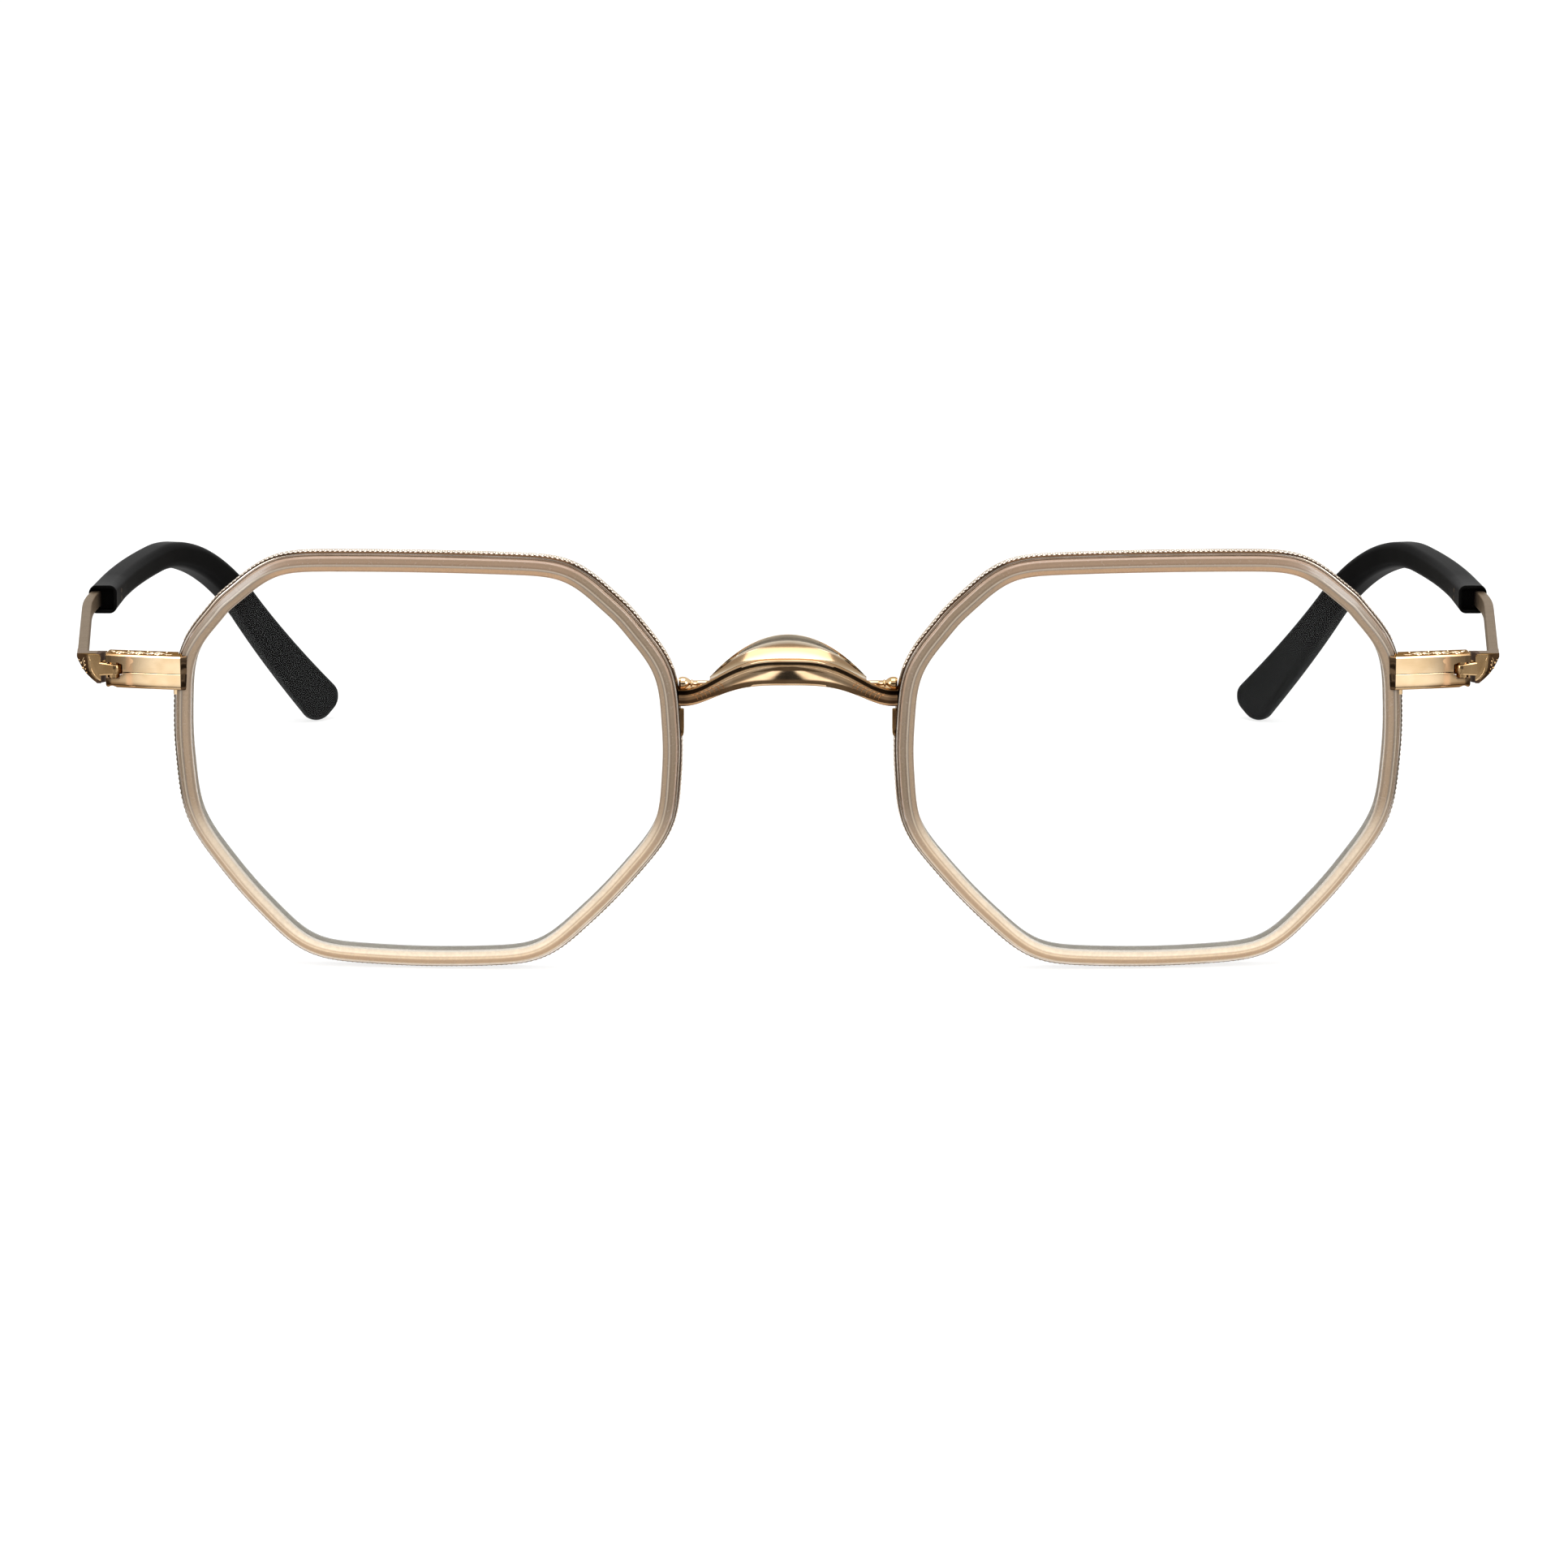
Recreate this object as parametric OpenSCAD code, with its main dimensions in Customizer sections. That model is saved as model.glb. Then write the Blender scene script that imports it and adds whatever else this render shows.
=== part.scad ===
// Octagonal spectacle frame: thin metal rims with plastic liners, a saddle bridge,
// split end pieces, corner hinges and two temples with plastic tips.
// It stands on its rims and temple tips, with both temples open.

/* [Lens openings] */
// Width of a lens opening
eye_w = 45.2; // [40:0.1:50]
// Height of a lens opening
eye_h = 37.3; // [32:0.1:42]
// From the lens centre to the nose end of the top flat
top_flat_in = 13.8; // [10:0.1:16]
// From the lens centre to the temple end of the top flat
top_flat_out = 14.6; // [10:0.1:16]
// From the lens centre to the nose end of the bottom flat
bottom_flat_in = 10.7; // [8:0.1:14]
// From the lens centre to the temple end of the bottom flat
bottom_flat_out = 11.6; // [8:0.1:14]
// Height of the upper corner on the nose side, above the lens centre
nose_corner_up = 9.2; // [6:0.1:12]
// Height of the upper corner on the temple side, above the lens centre
temple_corner_up = 10.3; // [8:0.1:12]
// Depth of both lower side corners, below the lens centre
corner_down = 5.9; // [3:0.1:9]
// How much wider the opening is at its upper temple corner than at the lower one
temple_lean = 0.4; // [0:0.1:1]
// How far the rounding of a corner runs along each side
corner_run = 4.4; // [2:0.1:5]
// How far the middle of a side bows out from the straight line
side_bow = 0.5; // [0:0.05:1]
// Distance between the two lens openings
eye_gap = 25; // [20:0.1:30]
// Radius of the lens curve
curve_r = 133; // [90:1:260]
// Angle by which each lens turns back towards its temple
wrap = 4; // [0:0.5:6]
// Lean of the front, top forward
tilt = 3.1; // [0:0.05:8]

/* [Rims, liners and lenses] */
// Radial thickness of the metal rim
rim_t = 0.4; // [0.3:0.05:0.6]
// Depth of the metal rim from front to back
rim_d = 1.3; // [1.2:0.05:2]
// Radial width of the plastic liner
liner_w = 1.4; // [1.1:0.05:2]
// How far the liner stands out in front of the metal
liner_proud = 0.7; // [0.2:0.05:1]
// How far the liner reaches behind the front edge of the metal
liner_back = 1.6; // [1.5:0.05:2]
// Thickness of the lens
lens_t = 1.2; // [1:0.05:1.4]
// Depth of the lens groove in the liner
groove_d = 0.5; // [0.3:0.05:0.7]
// Gap left for lacquer and solder where two pieces meet
seat_gap = 0.02; // [0.01:0.005:0.04]
// Width of the slit where the metal rim is split
slit = 0.1; // [0.06:0.01:0.2]

/* [End pieces] */
// Height of an end piece
end_h = 3.4; // [3:0.05:4]
// Height of its lower half
end_lower_h = 1.65; // [1.5:0.05:1.8]
// Depth of an end piece from front to back
end_d = 2.1; // [1.9:0.05:2.4]
// From the edge of the lens opening to the outer end of an end piece
end_reach = 8.35; // [8:0.05:10]
// How far the end piece laps over the front of the rim
end_lap = 0.95; // [0.5:0.05:1.1]
// Height of the split above the lens centre
split_up = 8.4; // [6:0.1:10]
// Backward sweep of the end pieces
end_sweep = 8; // [4:0.5:12]
// How far the end piece stands in front of the rim
end_proud = 1.1; // [0.9:0.05:1.3]
// Height of the foot that laps over the rim below the end piece
foot_h = 0.55; // [0.2:0.05:0.8]
// Width of the foot
foot_w = 0.75; // [0.5:0.05:1]
// Thickness of the foot in front of the rim
foot_t = 0.35; // [0.25:0.05:0.5]

/* [Screws] */
// Diameter of the closing screw's shaft
screw_d = 1; // [0.8:0.05:1.1]
// Diameter of the closing screw's head
head_d = 1.6; // [1.4:0.05:1.7]
// Diameter of the hinge screw's shaft
pin_d = 0.85; // [0.7:0.05:0.9]
// Diameter of the hinge screw's head
pin_head_d = 1.1; // [1:0.02:1.12]
// Height of the screw heads
head_h = 0.5; // [0.4:0.05:0.6]
// Width of the driver slots
driver_w = 0.3; // [0.2:0.05:0.4]
// Depth of the driver slots
driver_d = 0.25; // [0.15:0.05:0.3]
// Gap round a screw that is held
screw_gap = 0.02; // [0.01:0.005:0.04]
// Distance of the closing screw from the edge of the lens opening
closing_out = 3.7; // [3.4:0.1:4.5]
// Metal left above the end of a screw
screw_roof = 0.3; // [0.2:0.05:0.5]
// How far the screw heads are sunk
head_sunk = 0.15; // [0.05:0.05:0.3]

/* [Hinges] */
// Distance of the hinge axis from the outer end of the end piece
axis_in = 0.65; // [0.65:0.01:0.8]
// Height of the hinge knuckle
knuckle_h = 1.5; // [1.3:0.05:1.6]
// Radius of the hinge knuckle
knuckle_r = 0.85; // [0.75:0.01:0.9]
// Running gap round the hinge screw
pin_gap = 0.03; // [0.02:0.005:0.05]
// Running gap above and below the knuckle
knuckle_gap = 0.04; // [0.02:0.01:0.08]
// Running gap between the fork and the hinge block
swing_gap = 0.1; // [0.06:0.01:0.2]
// Width of the gap between the end piece and the hinge block
hinge_gap = 0.7; // [0.5:0.05:0.9]
// Height of the hinge block
block_h = 2.95; // [2.8:0.05:3.4]
// Height of the block's middle above the middle of the knuckle
block_up = 0.15; // [0:0.05:0.2]
// Depth of the hinge block in front of the axis
block_front = 0.75; // [0.6:0.05:0.9]
// Length of the hinge block behind the axis
block_back = 4.2; // [3.5:0.1:6]
// Width of the front face of the hinge block, without the strip's thickness
block_face = 1.2; // [1:0.05:1.6]
// Size of the bevel down the front outer edge of the hinge block
block_bevel = 0.45; // [0.3:0.05:0.8]
// Width of the rounding at the lower outer corner of the hinge block
corner_w = 1.95; // [1.2:0.05:2]
// Height of that rounding
corner_h = 2.6; // [1.5:0.05:2.7]
// How far the rounding swells out from a straight line
corner_swell = 0.25; // [0.1:0.05:0.5]

/* [Temples] */
// Thickness of the temple strip
strip_t = 1; // [0.8:0.05:1.3]
// Height of the temple strip
strip_h = 1.7; // [1.4:0.05:1.9]
// Height of the strip's middle above the middle of the knuckle
strip_up = 0.55; // [0.2:0.05:0.6]
// Downward slope of the open temple
temple_slope = 5.8; // [3:0.05:6]
// Length of the bare temple strip
strip_l = 64; // [55:1:70]
// Length of the straight part of the temple
straight_l = 45; // [35:1:50]
// Outward splay of the straight part
splay = 4.9; // [3:0.1:7]
// Inward turn of the temple at its end
end_turn = 58; // [30:1:65]
// Length of the temple from the hinge block to the middle of the ear bend
ear_l = 99.5; // [92:0.5:110]
// Length of the ear bend
bend_l = 21.6; // [14:0.2:26]
// Downward angle of the temple behind the ear
drop = 51.3; // [35:0.2:55]
// Lift of the temple in front of the ear bend
lift = 6.6; // [0:0.1:7]
// Length over which the temple comes up from its slope to the lift
lift_l = 10; // [5:1:14]
// Length of the temple behind the ear bend
drop_l = 17.7; // [12:0.1:25]

/* [Tips] */
// Width of the tip at its front end
tip_w = 3; // [2.8:0.05:3.6]
// Width of the tip at its rear end
tip_end_w = 2.1; // [2:0.05:4]
// Height of the tip at its front end
tip_h = 3; // [2.8:0.05:3.4]
// Height of the tip behind the step at its front end
tip_neck_h = 2.7; // [2.4:0.05:2.8]
// Length over which the step runs out
heel_l = 9; // [6:0.5:10]
// Height of the tip behind the ear bend
tip_drop_h = 3.4; // [3:0.1:6]
// Height of the tip at its rear end
tip_end_h = 5; // [3.6:0.1:6.5]
// Length of the rounded rear end of the tip
dome_l = 1.9; // [1:0.1:2]
// How much of each side the rounded rear end takes off the tip's width
dome_w = 0.6; // [0.3:0.1:0.8]
// Wall between the outer face of the tip and the strip
tip_wall = 0.45; // [0.3:0.05:0.6]
// The same wall at the very front of the tip
tip_lip = 0.2; // [0.2:0.05:0.3]
// Depth of the pocket in the front end of the tip
pocket_d = 1.2; // [0.6:0.1:2]
// Length of the strip's core inside the tip
core_l = 48; // [30:1:52]
// Height of the strip's core
core_h = 1.3; // [1:0.1:1.5]
// How much the core is set back from each side of the strip
core_step = 0.1; // [0.05:0.05:0.2]
// Gap between the core and the tip
core_gap = 0.04; // [0.02:0.01:0.08]
// Room left behind the end of the core
core_end_gap = 0.5; // [0.2:0.1:1]
// Rounding of the tip's edges
tip_r = 0.8; // [0.5:0.05:0.9]
// Wall of the pocket
pocket_wall = 0.35; // [0.3:0.05:0.45]
// Rounding of the pocket's corners
pocket_r = 0.3; // [0.2:0.05:0.4]
// Rounding of the bore's corners
bore_r = 0.1; // [0.05:0.01:0.15]
// Distance of the tip pins from the front end of the tip
pin_back = 5; // [3:0.1:8]
// Diameter of the tip pins
tip_pin_d = 0.5; // [0.4:0.05:0.6]
// Distance between the two tip pins
tip_pin_pitch = 0.8; // [0.7:0.05:1]

/* [Bridge] */
// Height of the bridge bar at its middle
bar_h = 2.45; // [1.8:0.05:3]
// Height of the bridge bar at its ends
bar_end_h = 1.1; // [1:0.05:2]
// Thickness of the bridge bar
bar_t = 1; // [0.8:0.05:1.1]
// Height of the bar's middle above the lens centre
bar_up = 9.6; // [7:0.1:12]
// Rise of the bar from its ends to its middle
bar_rise = 3.75; // [1:0.05:5]
// How much of the rise follows a plain arch, the rest dropping only near the ends
bar_arch = 0.8; // [0.5:0.05:1]
// How far the bar's ends lie behind the front edge of the rims
bar_back = 0.1; // [0:0.05:0.3]
// How far the middle of the bar bows forward
bar_bow = 1.2; // [0.4:0.1:2.5]
// Half the width of the saddle
saddle_half = 7.6; // [6:0.1:8]
// Depth of the saddle behind the bar
saddle_d = 3.6; // [2.5:0.1:5]
// Thickness of the saddle plate
saddle_t = 0.8; // [0.6:0.05:1]
// Height of the saddle's rear lip above the bar's middle
lip_up = 1.55; // [1:0.05:4]
// How much lower the ends of the saddle's lip lie than its middle
lip_rise = 4; // [3:0.1:6]
// How high up the back of the bar the saddle starts, above the bar's middle
saddle_up = 0.5; // [0.3:0.05:0.8]
// How much less deep the saddle is at its ends
saddle_taper = 1.6; // [0.5:0.1:2]
// Depth of the hollow between the bar and the lip
hollow = 0.9; // [0.4:0.1:1.4]
// Diameter of the round arms at the ends of the saddle
arm_d = 1.1; // [0.8:0.05:1.2]
// Diameter of the bulbs that join the arms to the rims
bulb_d = 1.5; // [1.2:0.05:1.6]
// Length of the bulbs
bulb_l = 0.7; // [0.5:0.05:1.2]
// Length over which an arm widens to its bulb
bulb_taper = 0.4; // [0.2:0.05:0.6]
// Height of the arms above the lens centre
arm_up = 7.65; // [6:0.05:9]
// Height of the solder pads below the bar
pad_h = 2.6; // [1.5:0.1:4]
// Thickness of the solder pads
pad_t = 0.5; // [0.2:0.05:0.6]

/* [Hidden] */
$fn = 48;

gold = [0.78, 0.62, 0.40];
satin_gold = [0.66, 0.57, 0.47];
taupe = [0.62, 0.52, 0.42];
clear_glass = [0.85, 0.90, 0.92, 0.35];
black = [0.08, 0.08, 0.08];

// Corners of a lens opening, clockwise from the upper nose corner, with u towards the temple
corners = [
    [-eye_w / 2, nose_corner_up],
    [-top_flat_in, eye_h / 2],
    [top_flat_out, eye_h / 2],
    [eye_w / 2 + temple_lean / 2, temple_corner_up],
    [eye_w / 2 - temple_lean / 2, -corner_down],
    [bottom_flat_out, -eye_h / 2],
    [-bottom_flat_in, -eye_h / 2],
    [-eye_w / 2, -corner_down]
];
// Share of a side's bow that is there where a corner's rounding ends
shoulder = 0.6;
// Steps of the curve between two of its control points
outline_steps = 3;

function unit(v) = v / norm(v);

// Control points of one side: its corner, a point after it, its bowed middle, a point before the next
function side_controls(a, b) =
    let (along = unit(b - a), outward = [-along[1], along[0]])
    [
        a,
        a + along * corner_run + outward * side_bow * shoulder,
        (a + b) / 2 + outward * side_bow,
        b - along * corner_run + outward * side_bow * shoulder
    ];
controls = [
    for (i = [0 : len(corners) - 1])
        each side_controls(corners[i], corners[(i + 1) % len(corners)])
];

// Point and direction on a smooth closed curve through the control points
function curve_point(p, i, t) =
    let (n = len(p), a = p[(i + n - 1) % n], b = p[i], c = p[(i + 1) % n], d = p[(i + 2) % n])
    (a * pow(1 - t, 3) + b * (3 * pow(t, 3) - 6 * t * t + 4)
        + c * (-3 * pow(t, 3) + 3 * t * t + 3 * t + 1) + d * pow(t, 3)) / 6;
function curve_heading(p, i, t) =
    let (n = len(p), a = p[(i + n - 1) % n], b = p[i], c = p[(i + 1) % n], d = p[(i + 2) % n])
    unit(-a * pow(1 - t, 2) + b * (3 * t * t - 4 * t) + c * (-3 * t * t + 2 * t + 1) + d * t * t);

// Outline of the opening, grown outwards by the given distance
function eye_outline(grow) = [
    for (i = [0 : len(controls) - 1], k = [0 : outline_steps - 1])
        let (t = k / outline_steps, h = curve_heading(controls, i, t))
            curve_point(controls, i, t) + [-h[1], h[0]] * grow
];
opening = eye_outline(0);
opening_low = min([for (p = opening) p[1]]);
opening_temple = max([for (p = opening) p[0]]);
liner_out = liner_w;
rim_in = liner_out + seat_gap;
rim_out = rim_in + rim_t;

// Places in the front's own frame, in which the front stands upright
lens_x = eye_gap / 2 + eye_w / 2;
lens_y = lens_x * tan(wrap);
lens_z = rim_out - opening_low;
edge_r = eye_w / 2 + rim_out;
// Depth of a sphere of the lens curve below its top, at the given distance from the lens centre
function sag(r) = curve_r - sqrt(pow(curve_r, 2) - r * r);
front_face = sag(edge_r);

// End piece
split_z = lens_z + split_up;
end_low = split_z - end_lower_h;
end_x = lens_x + opening_temple * cos(wrap);
end_root_y = lens_y + edge_r * sin(wrap) - end_proud;
end_root_x = end_x + rim_out - end_lap;
end_len = (end_reach - rim_out + end_lap) / cos(end_sweep);
closing_x = closing_out - rim_out + end_lap;

// Hinge axis, from the end piece's root along its front face
axis_x = end_len - axis_in;
axis_y = end_d / 2;
hinge_x = end_root_x + axis_x * cos(end_sweep) - axis_y * sin(end_sweep);
hinge_y = end_root_y + axis_x * sin(end_sweep) + axis_y * cos(end_sweep);
hinge_z = split_z;
prong_end = axis_in;
block_in = prong_end + hinge_gap;
swing_r = block_in - swing_gap;
strip_in = block_in + block_face;
hinge_tilt = tilt + temple_slope;
pin_low = end_low + head_sunk - hinge_z;
pin_high = end_low + end_h - screw_roof - hinge_z;

// Temple course from the rear of the hinge block: step by step along its length
temple_l = ear_l + bend_l / 2 + drop_l;
course_step = 2;
course_n = ceil(temple_l / course_step);
turn_growth = 1.6;
function turn_at(s) =
    splay - (splay + end_turn) * pow(max(0, (s - straight_l) / (temple_l - straight_l)), turn_growth);
function pitch_at(s) =
    lookup(s, [[strip_l, 0], [strip_l + lift_l, lift], [ear_l - bend_l / 2, lift],
        [ear_l + bend_l / 2, temple_slope - drop]]);
function course_dir(s) = [
    sin(turn_at(s)) * cos(pitch_at(s)),
    cos(turn_at(s)) * cos(pitch_at(s)),
    sin(pitch_at(s))
];
course_start = [strip_in + strip_t / 2 + block_back * tan(splay), block_back, strip_up];
function course_from(i, p) = i > course_n ? []
    : concat([p], course_from(i + 1, p + course_dir((i + 0.5) * temple_l / course_n) * temple_l / course_n));
course = course_from(0, course_start);

function course_s(i) = i * temple_l / course_n;
// Place on the course at any length
function course_at(s) =
    let (f = min(max(s / temple_l * course_n, 0), course_n), i = min(floor(f), course_n - 1))
    course[i] + (course[i + 1] - course[i]) * (f - i);
// Outward and upward directions across the course
function course_out(s) = [cos(turn_at(s)), -sin(turn_at(s)), 0];
function course_up(s) = cross(course_out(s), course_dir(s));

// Solid of sections with as many points each, joined in order
module skin_of(sections) {
    n = len(sections);
    m = len(sections[0]);
    points = [for (s = sections) each s];
    sides = [
        for (i = [0 : n - 2], j = [0 : m - 1])
            each [
                [i * m + j, i * m + (j + 1) % m, (i + 1) * m + (j + 1) % m],
                [i * m + j, (i + 1) * m + (j + 1) % m, (i + 1) * m + j]
            ]
    ];
    caps = [[for (j = [m - 1 : -1 : 0]) j], [for (j = [0 : m - 1]) (n - 1) * m + j]];
    polyhedron(points = points, faces = concat(sides, caps));
}

// Rectangle across the course at length s, from a to b outwards and from c to d upwards
function course_rect(s, a, b, c, d) = [
    for (q = [[a, c], [b, c], [b, d], [a, d]])
        course_at(s) + course_out(s) * q[0] + course_up(s) * q[1]
];
// The same with corners rounded by r
function course_round_rect(s, a, b, c, d, r) =
    let (x = (a + b) / 2, z = (c + d) / 2, w = (b - a) / 2 - r, h = (d - c) / 2 - r)
    [
        for (k = [0 : 3], e = [0, 30, 60, 90])
            let (g = k * 90 + e)
            course_at(s)
                + course_out(s) * (x + w * (k == 0 || k == 3 ? 1 : -1) + r * cos(g))
                + course_up(s) * (z + h * (k < 2 ? 1 : -1) + r * sin(g))
    ];

// Places one side of the front: wearer's left as drawn, right as its mirror image
module on_side(side) {
    if (side == "left") children();
    else mirror([1, 0, 0]) children();
}
// Sets the front on its feet, leaning forward, with the whole frame about the origin
front_rise = -(lens_y - front_face + sag(eye_h / 2 + rim_out)) * sin(tilt);
front_reach = hinge_z * sin(tilt);
temple_reach = hinge_y * cos(tilt) - hinge_z * sin(tilt)
    + course[course_n][1] * cos(temple_slope) + course[course_n][2] * sin(temple_slope);
front_y = (front_reach - temple_reach) / 2;
module front_stance() {
    translate([0, front_y, front_rise]) rotate([tilt, 0, 0]) children();
}
module lens_stance() {
    translate([lens_x, lens_y, lens_z]) rotate([0, 0, wrap]) children();
}
module end_stance() {
    translate([end_root_x, end_root_y, 0]) rotate([0, 0, end_sweep]) children();
}
module hinge_stance() {
    translate([hinge_x, hinge_y, hinge_z]) rotate([-hinge_tilt, 0, 0]) children();
}

// Depth of the blanks that the curved pieces are cut from
blank = 12;
// Upright blank of a lens outline
module outline_blank(grow) {
    translate([0, blank / 2, 0]) rotate([90, 0, 0]) linear_extrude(blank) polygon(eye_outline(grow));
}
// Ball of the lens curve whose front lies the given depth behind the rim's front edge
module curve_ball(depth) {
    translate([0, curve_r - front_face, 0]) sphere(curve_r - depth, $fn = 240);
}
// Ring between two outlines and two depths
module curved_ring(grow_in, grow_out, front, back) {
    difference() {
        intersection() {
            difference() {
                outline_blank(grow_out);
                outline_blank(grow_in);
            }
            curve_ball(front);
        }
        curve_ball(back);
    }
}
// Disc inside an outline between two depths
module curved_disc(grow, front, back) {
    difference() {
        intersection() {
            outline_blank(grow);
            curve_ball(front);
        }
        curve_ball(back);
    }
}
// Space taken by a rim and its liner and all that lies behind them, with a gap round it
module rim_space(gap) {
    lens_stance() {
        curved_disc(rim_out + gap, -gap, blank / 2);
        curved_disc(liner_out + gap, -liner_proud - gap, blank / 2);
    }
}

lens_front = (rim_d - lens_t) / 2;
module lens(side) {
    color(clear_glass) on_side(side) front_stance() lens_stance()
        curved_disc(groove_d - seat_gap, lens_front, lens_front + lens_t);
}
module liner(side) {
    color(taupe) on_side(side) front_stance() lens_stance()
        difference() {
            curved_ring(0, liner_out, -liner_proud, liner_back);
            curved_disc(groove_d, lens_front - seat_gap, lens_front + lens_t + seat_gap);
        }
}
module rim(side) {
    color(gold) on_side(side) front_stance()
        difference() {
            lens_stance() curved_ring(rim_in, rim_out, 0, rim_d);
            translate([lens_x, -blank, split_z - slit / 2]) cube([eye_w, 3 * blank, slit]);
        }
}

// Straight block of an end piece between two heights, with its inner end bevelled
module end_block(low, high) {
    translate([0, 0, low]) linear_extrude(high - low) polygon([
        [0, 0],
        [end_len, 0],
        [end_len, end_d],
        [-end_lap / 2, end_d],
        [-end_lap / 2, end_lap / 2]
    ]);
}
// Space that the hinge knuckle, its screw and the swing of the block need
module hinge_space() {
    hinge_stance() {
        translate([-knuckle_r - swing_gap, -blank / 2, -knuckle_h / 2 - knuckle_gap])
            cube([blank, blank, knuckle_h + 2 * knuckle_gap]);
        translate([prong_end, -blank / 2, -blank / 2]) cube([blank, blank, blank]);
        translate([-blank / 2, swing_r, -blank / 2]) cube([blank, blank, blank]);
        difference() {
            translate([0, 0, -blank / 2]) cube([blank, blank, blank]);
            translate([0, 0, -blank]) cylinder(r = swing_r, h = 2 * blank);
        }
        hinge_screw_solid(screw_gap);
    }
}
module endpiece_upper(side) {
    color(gold) on_side(side) front_stance()
        difference() {
            end_stance() end_block(split_z + slit / 4, end_low + end_h);
            rim_space(seat_gap);
            hinge_space();
            closing_screw_solid(screw_gap);
        }
}
module endpiece_lower(side) {
    color(gold) on_side(side) front_stance()
        difference() {
            union() {
                end_stance() end_block(end_low, split_z - slit / 4);
                end_stance() translate([end_lap - foot_w, end_proud - foot_t, end_low - foot_h])
                    cube([foot_w, end_d - end_proud, foot_h + end_lower_h / 2]);
            }
            rim_space(seat_gap);
            hinge_space();
            closing_screw_solid(screw_gap);
        }
}

// Screw standing on its head, grown by a gap, with a driver slot if it is solid
module screw_solid(shaft_d, crown_d, low, high, grow) {
    difference() {
        union() {
            translate([0, 0, low - grow]) cylinder(d = crown_d + 2 * grow, h = head_h + 2 * grow);
            translate([0, 0, low]) cylinder(d = shaft_d + 2 * grow, h = high - low + grow);
            if (grow > 0) translate([0, 0, low - blank]) cylinder(d = crown_d + 2 * grow, h = blank);
        }
        if (grow == 0)
            translate([-crown_d, -driver_w / 2, low - blank]) cube([2 * crown_d, driver_w, driver_d + blank]);
    }
}
module closing_screw_solid(grow) {
    end_stance() translate([closing_x, end_d / 2, 0])
        screw_solid(screw_d, head_d, end_low + head_sunk, end_low + end_h - screw_roof, grow);
}
module hinge_screw_solid(grow) {
    screw_solid(pin_d, pin_head_d, pin_low, pin_high, grow);
}
module closing_screw(side) {
    color(gold) on_side(side) front_stance() closing_screw_solid(0);
}
module hinge_screw(side) {
    color(gold) on_side(side) front_stance() hinge_stance() hinge_screw_solid(0);
}

// Hinge block: knuckle in the fork, and a tail with a rounded lower outer corner
block_out = strip_in + strip_t;
block_low = block_up - block_h / 2;
corner_steps = 5;
function corner_point(k) =
    let (t = k / corner_steps, swell = corner_swell * sin(180 * t))
    [block_out - corner_w * t + swell * corner_h / norm([corner_w, corner_h]),
        block_low + corner_h * (1 - t) - swell * corner_w / norm([corner_w, corner_h])];
module block_front_view() {
    polygon(concat(
        [[0, block_low], [0, block_low + block_h], [block_out, block_low + block_h]],
        [for (k = [0 : corner_steps]) corner_point(k)]
    ));
}
module block_top_view() {
    polygon([
        [block_in, -block_front],
        [block_out - block_bevel, -block_front],
        [block_out, -block_front + block_bevel],
        [block_out + block_back, block_back],
        [strip_in + block_back * tan(splay), block_back],
        [strip_in + swing_r * tan(splay), swing_r],
        [block_in, swing_r]
    ]);
}
module hinge_block(side) {
    color(gold) on_side(side) front_stance() hinge_stance()
        difference() {
            union() {
                translate([0, 0, -knuckle_h / 2]) cylinder(r = knuckle_r, h = knuckle_h);
                translate([0, -block_front, -knuckle_h / 2])
                    cube([block_in + seat_gap, block_front + knuckle_r, knuckle_h]);
                intersection() {
                    translate([0, 0, block_low]) linear_extrude(block_h) block_top_view();
                    rotate([90, 0, -splay]) linear_extrude(2 * blank, center = true) block_front_view();
                }
            }
            translate([0, 0, -blank]) cylinder(d = pin_d + 2 * pin_gap, h = 2 * blank);
        }
}

// Strip of the temple, with the core that runs on inside the tip
// The strip starts square to its own course, just clear of the block's rear face
first_s = seat_gap + strip_t / 2 * tan(splay);
function strip_sections(to) = [
    for (i = [0 : course_n], s = [course_s(i)])
        if (s < to) course_rect(i == 0 ? first_s : s, -strip_t / 2, strip_t / 2, -strip_h / 2, strip_h / 2)
];
core_t = strip_t - 2 * core_step;
// How far the core's root is sunk in the strip, and the least length of a step between two sections
root_l = 0.3;
function core_section(s) = course_rect(s, -core_t / 2, core_t / 2, -core_h / 2, core_h / 2);
module temple_strip(side) {
    color(satin_gold) on_side(side) front_stance() hinge_stance() {
        skin_of(concat(
            strip_sections(strip_l + pocket_d - root_l),
            [course_rect(strip_l + pocket_d, -strip_t / 2, strip_t / 2, -strip_h / 2, strip_h / 2)]
        ));
        skin_of(concat(
            [core_section(strip_l + pocket_d - root_l)],
            [for (i = [0 : course_n], s = [course_s(i)])
                if (s > strip_l + pocket_d + root_l && s < strip_l + core_l) core_section(s)]
        ));
    }
}

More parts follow.
